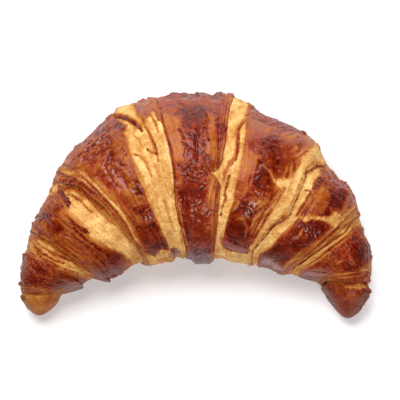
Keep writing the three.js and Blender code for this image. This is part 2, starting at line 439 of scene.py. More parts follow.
@dataclass(frozen=True)
class Patch:
    """An area of a turn that is baked lighter or darker, or stands higher, than what is round it.

    soft is how far its border fades and raised how high it stands, in millimetres. gloss is added to
    the gloss, and calm is how much of the crust's unevenness it smooths away.
    """

    points: Table
    bake: BrowningAndShade
    soft: float = 1.2
    raised: float = 0.0
    strength: float = 1.0
    ragged: float = 1.0
    gloss: float = 0.0
    calm: float = 0.0


class Skin:
    """The points of one turn's surface while its crust is worked out."""

    STATION_LENGTH = 30.0
    GIRTH = 26.0
    BEND_SEED = 78
    BEND_CELL = 7.0
    BEND = 1.1
    FAR = 1e9
    TINY = 1e-9

    def __init__(self, station: Array, degrees: Array, origin: Array, creases: Creases) -> None:
        """Keeps the points and how far a station and a degree reach at each.

        Args:
            station: the points' places along the roll.
            degrees: their places round it.
            origin: the station that each point's grain is measured from, as layers follow an edge.
            creases: which way the creases run.
        """
        self.station = station
        self.degrees = degrees
        self.per_station, self.per_degree = ROLL.stretch(station, degrees)
        self.height, self.browning, self.redness, self.calm = np.zeros((4, len(station)))
        self.gloss = round_table(GLOSS, degrees)
        turned = np.radians(degrees)
        along = (station - origin) * self.STATION_LENGTH
        self.straight = np.stack([along, self.GIRTH * np.cos(turned), self.GIRTH * np.sin(turned)], axis=-1)
        bent = ROLL.place(station, degrees, np.zeros_like(station))
        self.places = {
            Over.ROLL: bent,
            Over.SLEEVE: self.straight,
            Over.CREASES: self.straight / np.array(creases.value),
        }
        self.bend = Grain(self.BEND_SEED).bent(bent / self.BEND_CELL, self.BEND)

    def uneven(self, kind: Kind, bend: Array | None = None) -> Array:
        """One kind of unevenness at each point.

        Args:
            kind: the kind.
            bend: how its places wander, where they don't wander with the others.

        Returns:
            Values from about -1 to 1, or from 0 to 1 less the level for a kind with ridges.
        """
        texture = kind.value
        wandering = self.bend if bend is None else bend
        places = self.places[texture.over] / np.array(texture.cells) + texture.bend * wandering
        grain = Grain(texture.seed)
        if texture.sharpness:
            return grain.ridged(places, texture.octaves) ** texture.sharpness - texture.level
        return grain.layered(places, texture.octaves, texture.gain)

    def local(self, points: Table) -> list[tuple[Array, Array]]:
        """Places seen from each point of the skin, in millimetres along and round the roll."""
        return [
            ((s - self.station) * self.per_station, (d - self.degrees) * self.per_degree)
            for s, d in points
        ]

    def to_line(self, points: Table, closed: bool = False) -> tuple[Array, Array]:
        """How far each point is from a line of straight stretches.

        Args:
            points: the line's corners.
            closed: whether the last corner joins the first.

        Returns:
            The distance in millimetres, and the share of the way along the line.
        """
        corners = self.local(points)
        if closed:
            corners.append(corners[0])
        best = np.full(len(self.station), self.FAR)
        where = np.zeros(len(self.station))
        count = len(corners) - 1
        for k in range(count):
            (ax, ay), (bx, by) = corners[k], corners[k + 1]
            dx, dy = bx - ax, by - ay
            share = np.clip(-(ax * dx + ay * dy) / np.maximum(dx * dx + dy * dy, self.TINY), 0, 1)
            gap = np.hypot(ax + share * dx, ay + share * dy)
            nearer = gap < best
            best = np.where(nearer, gap, best)
            where = np.where(nearer, (k + share) / count, where)
        return best, where

    def inside(self, points: Table) -> Array:
        """Whether each point lies inside an outline.

        Args:
            points: the outline's corners.

        Returns:
            True for each point that does.
        """
        corners = self.local(points)
        within = np.zeros(len(self.station), bool)
        for (ax, ay), (bx, by) in zip([corners[-1], *corners], corners):
            crosses = (ay > 0) != (by > 0)
            rise = np.where(crosses, by - ay, 1.0)
            within ^= crosses & (ax - ay * (bx - ax) / rise > 0)
        return within


@dataclass(frozen=True)
class Ring:
    """One ring of a sleeve of dough, with its station and its drop in millimetres at each whole degree.

    share says how far out from the roll's middle the ring lies, where 0 closes an end, and riser marks
    a ring at the face of a ledge.
    """

    station: Array
    drop: Array
    share: float = 1.0
    riser: float = 0.0


@dataclass
class Turn:
    """One turn of dough: a closed sleeve that lies on the roll between two of its edges.

    left and right are the numbers of its edges. puff and step scale how far it swells and how far
    its covered side lies below, bow is how far its back bulges and tail how far its front lip stands
    out, in millimetres. redness is how crimson its dark glaze is, from brown at 0 to crimson at 1, and
    shine scales its gloss. facets and rows say how finely the sleeve is modelled.
    """

    name: str
    left: int
    right: int
    left_end: End
    right_end: End
    bands: tuple[Band, ...]
    puff: float = 1.0
    step: float = 1.0
    bow: float = 0.0
    left_ledges: tuple[Ledge, ...] = ()
    right_ledges: tuple[Ledge, ...] = ()
    patches: tuple[Patch, ...] = ()
    strokes: tuple[Stroke, ...] = ()
    tail: float = 0.0
    redness: float = 0.3
    shine: float = 1.0
    creases: Creases = Creases.ACROSS
    facets: int = 120
    rows: int = 20
    seed: int = 1

    # The edges, and the rings at a sleeve's ends: stations along the roll, millimetres down.
    EDGE_SEED = 900
    EDGE_CIRCLE = 9.0
    EDGE_WANDER = 0.024
    HORN_SPACING = 0.9
    TIP_RING = 0.004
    COLLAR = 0.12
    UNDER_DROP = 4.5
    CORE_DROP = 9.0
    LEDGE_SEED = 40
    LEDGE_CIRCLE = 2.6
    LEDGE_GAP = 3.7
    LEDGE_FINENESS = 3.0
    LEDGE_WANDER = 0.026
    THINNING_SEED = 50
    THINNING = (-0.25, 0.3)
    THINNEST = 0.1
    LEDGE_LIP = 0.007
    LEDGE_LIP_DROP = 0.35
    LEDGE_FOOT = 0.002
    NOSE = 0.016
    NOSE_DROP = 0.5
    NOSE_FOOT = 0.3
    NOSE_FOOT_DROP = 1.7
    TUCK = 0.03

    # The straight sleeve in millimetres, and how it is bent onto the roll.
    SLEEVE_RADIUS = 30.0
    STATION_LENGTH = 33.0
    TOP_CROWDING = 0.35
    REDNESS_RANGE = 0.9
    UNDER_NEIGHBOUR = (2.3, 5.0)
    AXIS_LOWERED = 0.9
    AXIS_LOWEST = 3.0

    # The swelling, the step down to the next turn and the tail, in millimetres and degrees.
    PUFF = 1.5
    PUFF_FULLNESS = 0.8
    STEP_DEPTH = 2.9
    STEP_LOST_BEHIND = 0.55
    STEP_LOST_IN_FRONT = 0.2
    COVERED_SHARE = 0.55
    TAIL_FULLNESS = 0.45
    TAIL_RISES = ((158.0, 186.0, 1.0), (204.0, 222.0, -1.9), (236.0, 262.0, 0.9))

    # The unevenness of dark and of light crust: its height in millimetres, and how it changes the brown of
    # the crust, with painted highlight on crests, painted shade in creases and painted sheen behind.
    DARK = (0.45, 0.75)
    PALE = (0.15, 0.45)
    GLAZED_FRONT = (90.0, 125.0)
    GLAZED_UNDER = (200.0, 300.0)
    FLAKES_LOST = 0.8
    BROAD_HEIGHT = 0.5
    ROUGHER_BEHIND = 0.7
    CALM_RELIEF = 0.75
    # How much the calm patches take off the painted light and shade on the relief.
    CALM_RELIEF_LIGHT = 0.6
    FOLD_HEIGHT = 0.45
    # Painted sheen: the dark crust on the back, which faces the back lights, is painted paler.
    PAINTED_SHEEN_BEHIND = 0.08
    DARK_RELIEF = {Kind.BLISTER: 0.5, Kind.CREST: 0.2, Kind.CREASE: -0.3, Kind.WRINKLE: -0.2,
                   Kind.FLAKE: -0.22, Kind.PIMPLE: 0.06}
    LIGHT_RELIEF = {Kind.BLISTER: 0.28, Kind.STRAND: 0.2, Kind.PIMPLE: 0.12}
    # Paler crests and blisters, partly the thinner glaze there and partly painted highlight; darker creases
    # and wrinkles as painted shade.
    PAINTED_RELIEF_LIGHT = {Kind.BLISTER: 0.1, Kind.CREST: 0.1, Kind.WRINKLE: -0.15, Kind.CREASE: -0.15}
    PAINTED_RELIEF_LIGHT_LEVEL = 0.032
    DARK_PALING = {Kind.BROAD: 0.2, Kind.FLAKE: -0.28}
    PALE_BROWNING = {Kind.STRAND: 0.12, Kind.FOLD: -0.1, Kind.BLISTER: 0.08, Kind.PIMPLE: 0.05}

    # How bands, patches, strokes and the thin layers are drawn, and how brown the underside is.
    BAND_WANDER = 0.022
    BAND_LEAST = 0.01
    PATCH_TEARS = (0.9, 0.6)
    PATCH_STEP = 0.35
    STROKE_TEARS = 0.8
    STROKE_ENDS = (0.04, 0.96)
    STROKE_THINNEST = 0.35
    LAYERED_FROM = (0.17, 0.28)
    LAYERED_TO = (0.5, 0.62)
    LAYERED_CALM = 0.9
    LAYER_STRANDS = 0.14
    LAYER_EDGES = 0.24
    LAYER_LEVEL = 0.2
    LAYER_DEPTH = 0.3
    RISER_BROWNING = 0.3
    RISER_PALE = (0.3, 0.7)
    TRAY_REACH = (0.5, 7.0)
    TRAY_BROWNING = 0.8

    def edge(self, number: int) -> Array:
        """One edge of the turns, with the wander of torn dough.

        Args:
            number: the number of the edge.

        Returns:
            Its station at each whole degree.
        """
        if number in (0, ROLL.last):
            return np.full(len(ALL_ROUND), float(number))
        grain = Grain(self.EDGE_SEED + number)
        wander = grain.layered(circle(self.EDGE_CIRCLE, number), octaves=4, gain=0.75)
        return round_table(EDGES[number], ALL_ROUND) + self.EDGE_WANDER * wander

    def rings(self) -> list[Ring]:
        """Lays out the sleeve's rings, with three for each ledge and more where an end is tucked in.

        Returns:
            The rings, from the left end to the right one.
        """
        low, high = self.edge(self.left), self.edge(self.right)
        left_side = self.side(low, -1.0, self.left_end, self.left_ledges)
        right_side = self.side(high, 1.0, self.right_end, self.right_ledges)
        start, stop = left_side[0].station, right_side[0].station
        middle = [Ring(start + (stop - start) * t, np.zeros_like(start)) for t in self.spacing()]
        return left_side[::-1] + middle + right_side

    def spacing(self) -> Array:
        """Spaces the open rings, closer together towards a horn's tip.

        Returns:
            The shares of the way at which they lie.
        """
        t = np.arange(1, self.rows) / self.rows
        if self.right_end is End.TIP:
            return np.sin(t * math.pi / 2) ** self.HORN_SPACING
        if self.left_end is End.TIP:
            return 1.0 - np.sin((1 - t) * math.pi / 2) ** self.HORN_SPACING
        return t

    def side(self, edge: Array, way: float, end: End, ledges: tuple[Ledge, ...]) -> list[Ring]:
        """The rings of one side, from the open part of the turn outwards.

        Args:
            edge: the station of the side's edge at each degree.
            way: 1 where the side is the right one, -1 where it is the left one.
            end: how the side ends.
            ledges: its layers, from the open part outwards.

        Returns:
            The rings.
        """
        fallen = np.zeros_like(edge)
        if end is End.TIP:
            return [Ring(edge - way * self.TIP_RING, fallen), Ring(edge, fallen, 0.0)]
        if end is End.COVERED:
            under = edge + way * self.COLLAR
            return [Ring(edge, fallen), Ring(under, fallen + self.UNDER_DROP),
                    Ring(under, fallen + self.CORE_DROP, 0.0)]
        rings = []
        for k, ledge in enumerate(ledges):
            ring = circle(self.LEDGE_CIRCLE, self.LEDGE_GAP * k + way)
            grain = Grain(self.seed + self.LEDGE_SEED)
            wander = grain.layered(ring * self.LEDGE_FINENESS, octaves=3, gain=0.6)
            at = round_table(ledge.at, ALL_ROUND) + self.LEDGE_WANDER * wander
            thick = smooth(*self.THINNING, Grain(self.seed + self.THINNING_SEED).layered(ring))
            drop = ledge.drop * (self.THINNEST + (1.0 - self.THINNEST) * thick)
            rings.append(Ring(at, fallen))
            rings.append(Ring(at + way * self.LEDGE_LIP, fallen + self.LEDGE_LIP_DROP * drop, riser=1.0))
            fallen = fallen + drop
            rings.append(Ring(at + way * self.LEDGE_FOOT, fallen, riser=1.0))
        return rings + [
            Ring(edge, fallen),
            Ring(edge + way * self.NOSE, fallen + self.NOSE_DROP, riser=1.0),
            Ring(edge + way * self.NOSE_FOOT * self.NOSE, fallen + self.NOSE_FOOT_DROP, riser=1.0),
            Ring(edge - way * self.TUCK, fallen + self.UNDER_DROP),
            Ring(edge - way * self.TUCK, fallen + self.CORE_DROP, 0.0),
        ]

    def model_sleeve(self, rings: list[Ring]) -> Piece:
        """Models the straight sleeve: a circle, extruded ring by ring and closed at both ends.

        Args:
            rings: the layout of its rings.

        Returns:
            The sleeve, along X, with each point's ring kept as an attribute.
        """
        middle = np.array([ring.station[TOP] for ring in rings])
        xs = (middle - middle[0]) * self.STATION_LENGTH * MM
        radii = (self.SLEEVE_RADIUS - np.array([ring.drop[TOP] for ring in rings])) * MM
        bpy.ops.object.select_all(action="DESELECT")
        bpy.ops.mesh.primitive_circle_add(
            vertices=self.facets, radius=radii[1], location=(xs[1], 0, 0), rotation=(0, math.pi / 2, 0)
        )
        sleeve = bpy.context.object
        sleeve.name = sleeve.data.name = self.name
        bpy.ops.object.transform_apply(location=True, rotation=True, scale=True)
        bpy.ops.object.mode_set(mode="EDIT")
        bpy.ops.mesh.select_all(action="SELECT")
        for k in range(2, len(xs) - 1):
            bpy.ops.mesh.extrude_region_move(TRANSFORM_OT_translate={"value": (xs[k] - xs[k - 1], 0, 0)})
            grow = radii[k] / radii[k - 1]
            bpy.ops.transform.resize(value=(1, grow, grow), center_override=(xs[k], 0, 0))
        self.close_ring()
        last = len(xs) - 1
        ring = np.minimum(np.arange(len(sleeve.data.vertices)) // self.facets + 1, last)
        select_points(sleeve, ring == 1)
        bpy.ops.object.mode_set(mode="EDIT")
        self.close_ring()
        kept = sleeve.data.attributes.new("ring", "FLOAT", "POINT")
        kept.data.foreach_set("value", np.append(ring, 0).astype(np.float32))
        return sleeve

    def close_ring(self) -> None:
        """Closes the sleeve at the selected ring, and goes back to object mode."""
        bpy.ops.mesh.extrude_region_move(TRANSFORM_OT_translate={"value": (0, 0, 0)})
        bpy.ops.mesh.merge(type="CENTER")
        bpy.ops.object.mode_set(mode="OBJECT")

    def build(self) -> Piece:
        """Models the sleeve, bends it onto the roll and gives it its crust.

        Returns:
            The finished piece.
        """
        rings = self.rings()
        piece = self.model_sleeve(rings)
        finer = piece.modifiers.new("finer", "SUBSURF")
        finer.subdivision_type = "SIMPLE"
        finer.levels = finer.render_levels = 2
        bpy.ops.object.modifier_apply(modifier="finer")
        self.bend(piece, rings)
        bpy.ops.object.mode_set(mode="EDIT")
        bpy.ops.mesh.select_all(action="SELECT")
        bpy.ops.mesh.normals_make_consistent(inside=False)
        bpy.ops.object.mode_set(mode="OBJECT")
        crinkle(piece)
        bpy.ops.object.shade_smooth()
        return piece

    def bend(self, piece: Piece, rings: list[Ring]) -> None:
        """Moves every point of the straight sleeve to its place in the crust, and browns it.

        Args:
            piece: the sleeve, which becomes the turn.
            rings: the layout of its rings.
        """
        mesh = piece.data
        straight = np.zeros(len(mesh.vertices) * 3)
        mesh.vertices.foreach_get("co", straight)
        straight = straight.reshape(-1, 3)
        ring = np.zeros(len(mesh.vertices), np.float32)
        mesh.attributes["ring"].data.foreach_get("value", ring)
        mesh.attributes.remove(mesh.attributes["ring"])
        around = np.arctan2(straight[:, 2], straight[:, 1])
        degrees = np.degrees(around + self.TOP_CROWDING * np.cos(around)) % 360.0
        lower = np.clip(ring.astype(int), 0, len(rings) - 2)
        part = ring - lower

        def between(values: list[float]) -> Array:
            """Reads one value of each ring at each point, between the rings."""
            row = np.array(values)
            return row[lower] * (1 - part) + row[lower + 1] * part

        def read(values: list[Array]) -> Array:
            """Reads one row of each ring at each point, between the rings and between the degrees.

            Args:
                values: for each ring, a value at each whole degree.

            Returns:
                The values at the points.
            """
            rows = np.array(values)
            column = degrees.astype(int)
            turn = degrees - column
            first = rows[lower, column] * (1 - turn) + rows[lower, column + 1] * turn
            second = rows[lower + 1, column] * (1 - turn) + rows[lower + 1, column + 1] * turn
            return first * (1 - part) + second * part

        station, drop = read([r.station for r in rings]), read([r.drop for r in rings])
        low, high = (np.interp(degrees, ALL_ROUND, self.edge(number)) for number in (self.left, self.right))
        free = low if self.left_end is End.FREE else high if self.right_end is End.FREE else 0.0
        skin = Skin(station, degrees, free - self.seed, self.creases)
        self.brown(skin, between([r.riser for r in rings]))
        self.raise_relief(skin, np.clip((station - low) / (high - low), 0.0, 1.0))
        skin.gloss *= self.shine
        skin.redness = np.clip(self.redness + self.REDNESS_RANGE * skin.uneven(Kind.REDNESS), 0.0, 1.0)
        skin.height -= drop
        place = ROLL.place(station, degrees, skin.height)
        place[:, 2] = rest_on_tray(place[:, 2], smooth(*self.UNDER_NEIGHBOUR, drop))
        axis = ROLL.axis(station)
        axis[:, 2] = np.maximum(axis[:, 2] * self.AXIS_LOWERED, self.AXIS_LOWEST)
        place = axis + (place - axis) * between([r.share for r in rings])[:, None]
        mesh.vertices.foreach_set("co", (place * MM).ravel())
        mesh.update()
        under = 1.0 - smooth(*self.TRAY_REACH, place[:, 2])
        skin.browning += (BrowningAndShade.RUSSET.value - skin.browning) * self.TRAY_BROWNING * under
        keep_shades(piece, skin)

    def raise_relief(self, skin: Skin, across: Array) -> None:
        """Adds the turn's swelling, its cracks and flaps, and the unevenness of dough, with painted light
        and shade on that unevenness and painted sheen on the back.

        Args:
            skin: the points.
            across: the share of the way from the left edge to the right one.
        """
        from_covered = across if self.left_end is End.COVERED else 1.0 - across
        both_free = self.left_end is End.FREE and self.right_end is End.FREE
        risen = np.ones_like(across) if both_free else smooth(0.0, self.COVERED_SHARE, from_covered)
        arch = np.sin(math.pi * across)
        cosine = np.cos(np.radians(skin.degrees))
        behind = np.maximum(0.0, cosine) ** 2
        in_front = np.maximum(0.0, -cosine) ** 2
        step = 1.0 - self.STEP_LOST_BEHIND * behind - self.STEP_LOST_IN_FRONT * in_front
        tail = sum(share * smooth(low, high, skin.degrees) for low, high, share in self.TAIL_RISES)
        skin.height += self.PUFF * self.puff * arch**self.PUFF_FULLNESS * risen
        skin.height += (self.bow * arch + reading(BACK_BULGE, skin.station)) * behind
        skin.height += reading(FRONT_BULGE, skin.station) * in_front
        skin.height -= self.STEP_DEPTH * self.step * (1.0 - risen) * step
        skin.height += self.tail * arch**self.TAIL_FULLNESS * tail

        dark = smooth(*self.DARK, skin.browning)
        pale = 1.0 - smooth(*self.PALE, skin.browning)
        uneven = {kind: skin.uneven(kind) for kind in RELIEF_KINDS}
        glazed = smooth(*self.GLAZED_FRONT, skin.degrees) * (1.0 - smooth(*self.GLAZED_UNDER, skin.degrees))
        uneven[Kind.FLAKE] *= 1.0 - self.FLAKES_LOST * glazed

        def blend(weights: dict[Kind, float]) -> Array:
            """Adds up kinds of unevenness by their weights."""
            return sum(weight * uneven[kind] for kind, weight in weights.items())

        rough = dark * (1.0 + self.ROUGHER_BEHIND * behind) * (1.0 - self.CALM_RELIEF * skin.calm)
        skin.height += self.BROAD_HEIGHT * uneven[Kind.BROAD] + rough * blend(self.DARK_RELIEF)
        skin.height += (1.0 - dark) * blend(self.LIGHT_RELIEF) + self.FOLD_HEIGHT * pale * uneven[Kind.FOLD]
        # Painted highlight on crests, painted shade in creases and painted sheen behind lighten or darken
        # the dark crust's colour.
        relief_light = blend(self.PAINTED_RELIEF_LIGHT) + self.PAINTED_RELIEF_LIGHT_LEVEL
        relief_light *= 1.0 - self.CALM_RELIEF_LIGHT * skin.calm
        skin.browning -= dark * (relief_light + blend(self.DARK_PALING) + self.PAINTED_SHEEN_BEHIND * behind)
        skin.browning += pale * blend(self.PALE_BROWNING)
        skin.browning = np.clip(skin.browning, 0.0, 1.0)

    def brown(self, skin: Skin, riser: Array) -> None:
        """Browns the turn from its bands, then its patches and its strokes, some strokes being painted
        shadow under a lip, and raises these.

        Args:
            skin: the points.
            riser: how much each point belongs to the face of a ledge.
        """
        wander, fine = skin.uneven(Kind.WANDER), skin.uneven(Kind.FINE_WANDER)
        at = skin.station + self.BAND_WANDER * wander
        shade = np.full_like(at, self.bands[0].bake.value)
        for before, after in zip(self.bands, self.bands[1:]):
            low = round_table(before.at, skin.degrees)
            high = np.maximum(round_table(after.at, skin.degrees), low + self.BAND_LEAST)
            first, second = before.bake.value, after.bake.value
            share = np.clip((at - low) / (high - low), 0.0, 1.0)
            shade = np.where(at > low, first + (second - first) * share, shade)
        for patch in self.patches:
            gap, _ = skin.to_line(patch.points, closed=True)
            gap = np.where(skin.inside(patch.points), -gap, gap)
            gap += patch.ragged * (self.PATCH_TEARS[0] * wander + self.PATCH_TEARS[1] * fine)
            mask = 1.0 - smooth(-patch.soft, patch.soft, gap)
            shade += (patch.bake.value - shade) * mask * patch.strength
            skin.height += patch.raised * (1.0 - smooth(-self.PATCH_STEP, self.PATCH_STEP, gap))
            skin.gloss += patch.gloss * mask
            skin.calm = np.maximum(skin.calm, patch.calm * mask)
        for stroke in self.strokes:
            gap, along = skin.to_line(stroke.points)
            gap = np.abs(gap + stroke.ragged * self.STROKE_TEARS * fine)
            taper = np.sin(math.pi * np.clip(along, *self.STROKE_ENDS)) ** 0.5
            width = stroke.width * (self.STROKE_THINNEST + (1.0 - self.STROKE_THINNEST) * taper)
            mask = np.exp(-((gap / width) ** 2))
            shade += (stroke.bake.value - shade) * mask * stroke.strength
            skin.height -= stroke.depth * mask
        edges = skin.uneven(Kind.LAYER_EDGE, wander[:, None])
        layered = smooth(*self.LAYERED_FROM, shade) * (1.0 - smooth(*self.LAYERED_TO, shade))
        layered *= 1.0 - self.LAYERED_CALM * skin.calm
        strands = self.LAYER_STRANDS * skin.uneven(Kind.LAYER_STRAND)
        shade += layered * (strands + self.LAYER_EDGES * (edges - self.LAYER_LEVEL))
        skin.height -= self.LAYER_DEPTH * layered * edges
        shade += self.RISER_BROWNING * riser * (1.0 - smooth(*self.RISER_PALE, shade))
        skin.browning = np.clip(shade, 0.0, 1.0)


def rest_on_tray(z: Array, hidden: Array) -> Array:
    """Presses the underside flat on the tray, with a soft turn at its border.

    Args:
        z: the heights in millimetres.
        hidden: 1 where the dough lies under its neighbour, and so off the tray.

    Returns:
        The heights above the tray.
    """
    softness, sunk, lifted, near = 1.2, 0.02, 0.8, 3.0
    pressed = 0.5 * (z + np.sqrt(z * z + softness**2)) - sunk
    return np.maximum(pressed, 0.0) + lifted * hidden * (z < near)


def select_points(piece: Piece, chosen: Array) -> None:
    """Selects some of a piece's points, and nothing else of it.

    Args:
        piece: the piece, which is in object mode.
        chosen: whether each point is selected.
    """
    mesh = piece.data
    ends = np.zeros(len(mesh.edges) * 2, np.int32)
    mesh.edges.foreach_get("vertices", ends)
    mesh.vertices.foreach_set("select", chosen)
    mesh.edges.foreach_set("select", chosen[ends.reshape(-1, 2)].all(axis=1))
    mesh.polygons.foreach_set("select", np.zeros(len(mesh.polygons), bool))
    mesh.update()


def keep_shades(piece: Piece, skin: Skin) -> None:
    """Keeps how brown each place is with its painted light and shade, its redness, the gloss and the place
    on the straight roll for the finish.

    Args:
        piece: the turn.
        skin: its points.
    """
    for name, values in (("browning", skin.browning), ("redness", skin.redness), ("gloss", skin.gloss)):
        kept = piece.data.attributes.new(name, "FLOAT", "POINT")
        kept.data.foreach_set("value", values.astype(np.float32))
    straight = piece.data.attributes.new("roll_place", "FLOAT_VECTOR", "POINT")
    straight.data.foreach_set("vector", (skin.straight * MM).astype(np.float32).ravel())


def crinkle(piece: Piece) -> None:
    """Gives the glazed parts of a turn their fine crinkles, by how brown they are.

    Args:
        piece: the turn, which is the active object.
    """
    glazed, levels, cell, height = (0.45, 0.8), 16, 1.1, 0.05
    shade = np.zeros(len(piece.data.vertices), np.float32)
    piece.data.attributes["browning"].data.foreach_get("value", shade)
    glaze = piece.vertex_groups.new(name="glaze")
    level = np.round(smooth(*glazed, shade) * levels).astype(int)
    for step in range(1, levels + 1):
        glaze.add(np.flatnonzero(level == step).tolist(), step / levels, "REPLACE")
    texture = bpy.data.textures.new("crinkles", "CLOUDS")
    texture.noise_scale = cell * MM
    texture.noise_depth = 1
    fine = piece.modifiers.new("crinkles", "DISPLACE")
    fine.texture = texture
    fine.texture_coords = "LOCAL"
    fine.vertex_group = "glaze"
    fine.strength = height * MM
    fine.mid_level = 0.5
    bpy.ops.object.modifier_apply(modifier="crinkles")
    piece.vertex_groups.clear()


def linear(shade: Shade) -> tuple[float, float, float, float]:
    """Turns a screen colour into a light value for each channel, and full cover."""
    lights = ((c / 255 / 12.92) if c <= 10 else ((c / 255 + 0.055) / 1.055) ** 2.4 for c in shade)
    return (*lights, 1.0)


class Nodes:
    """The nodes of one material, which are added and joined as they are needed."""

    EVEN = (1.0, 1.0, 1.0)
    NOISE_ROUGHNESS = 0.6

    def __init__(self, name: str) -> None:
        """Makes the material, with a plain shader to feed.

        Args:
            name: the material's name.
        """
        self.material = bpy.data.materials.new(name)
        self.material.use_nodes = True
        self.tree = self.material.node_tree
        self.shader = self.tree.nodes["Principled BSDF"]

    def feed(self, node: bpy.types.Node, feeds: Feeds) -> None:
        """Links sockets to a node's inputs, and sets the inputs that are given a plain value.

        Args:
            node: the node.
            feeds: a socket or a value for each input, by name or by number.
        """
        for name, value in feeds.items():
            if isinstance(value, Socket):
                self.tree.links.new(value, node.inputs[name])
            else:
                node.inputs[name].default_value = value

    def add(self, kind: str, output: str, feeds: Feeds, **settings: str) -> Socket:
        """Adds a node.

        Args:
            kind: its type.
            output: the name of the output that is used.
            feeds: a socket or a value for each of its inputs.
            **settings: its own settings.

        Returns:
            The output.
        """
        node = self.tree.nodes.new(kind)
        for name, value in settings.items():
            setattr(node, name, value)
        self.feed(node, feeds)
        return node.outputs[output]

    def place(self) -> Socket:
        """The place on the object, in metres."""
        return self.add("ShaderNodeTexCoord", "Object", {})

    def kept(self, name: str, output: str = "Fac") -> Socket:
        """A value that the mesh keeps."""
        return self.add("ShaderNodeAttribute", output, {}, attribute_name=name)

    def math(self, operation: str, first: Socket | float, second: Socket | float) -> Socket:
        """A sum, a product or the like of two values."""
        return self.add("ShaderNodeMath", "Value", {0: first, 1: second}, operation=operation)

    def mix(self, blend: str, share: Socket, first: Socket, second: Feed) -> Socket:
        """A mix of two colours, with so much of the second."""
        feeds = {"Factor": share, "A": first, "B": second}
        return self.add("ShaderNodeMix", "Result", feeds, data_type="RGBA", blend_type=blend)

    def noise(self, source: Socket, cell: float, detail: float, stretch: Triple = EVEN) -> Socket:
        """Adds a noise whose cells have a real size.

        Args:
            source: the coordinates, in metres.
            cell: the size of a cell, in millimetres.
            detail: how many finer layers it has.
            stretch: how many times longer a cell is along each axis.

        Returns:
            The noise's value, round a half.
        """
        scale = tuple(1.0 / s for s in stretch)
        mapped = self.add("ShaderNodeMapping", "Vector", {"Vector": source, "Scale": scale})
        feeds = {"Vector": mapped, "Scale": 1.0 / (cell * MM), "Detail": detail}
        feeds["Roughness"] = self.NOISE_ROUGHNESS
        return self.add("ShaderNodeTexNoise", "Fac", feeds)

    def mottle(self, source: Socket, cell: float, detail: float, stretch: Triple = EVEN) -> Socket:
        """A noise as in the method noise, but round nothing."""
        return self.math("SUBTRACT", self.noise(source, cell, detail, stretch), 0.5)

    def between(self, source: Socket, low: float, high: float, first: float, second: float) -> Socket:
        """Maps a value's range onto another.

        Args:
            source: the value.
            low: where its range starts.
            high: where it ends.
            first: the result at its start.
            second: the result at its end.

        Returns:
            The mapped value.
        """
        feeds = {"Value": source, "From Min": low, "From Max": high, "To Min": first, "To Max": second}
        return self.add("ShaderNodeMapRange", "Result", feeds)

    def ramp(self, source: Socket, shades: tuple[Shade, ...]) -> Socket:
        """Turns a value from 0 to 1 into a colour of an even run of shades.

        Args:
            source: the value.
            shades: the run.

        Returns:
            The colour.
        """
        node = self.tree.nodes.new("ShaderNodeValToRGB")
        elements = node.color_ramp.elements
        while len(elements) < len(shades):
            elements.new(0.5)
        for k, (element, shade) in enumerate(zip(elements, shades)):
            element.position = k / (len(shades) - 1)
            element.color = linear(shade)
        self.feed(node, {"Fac": source})
        return node.outputs["Color"]


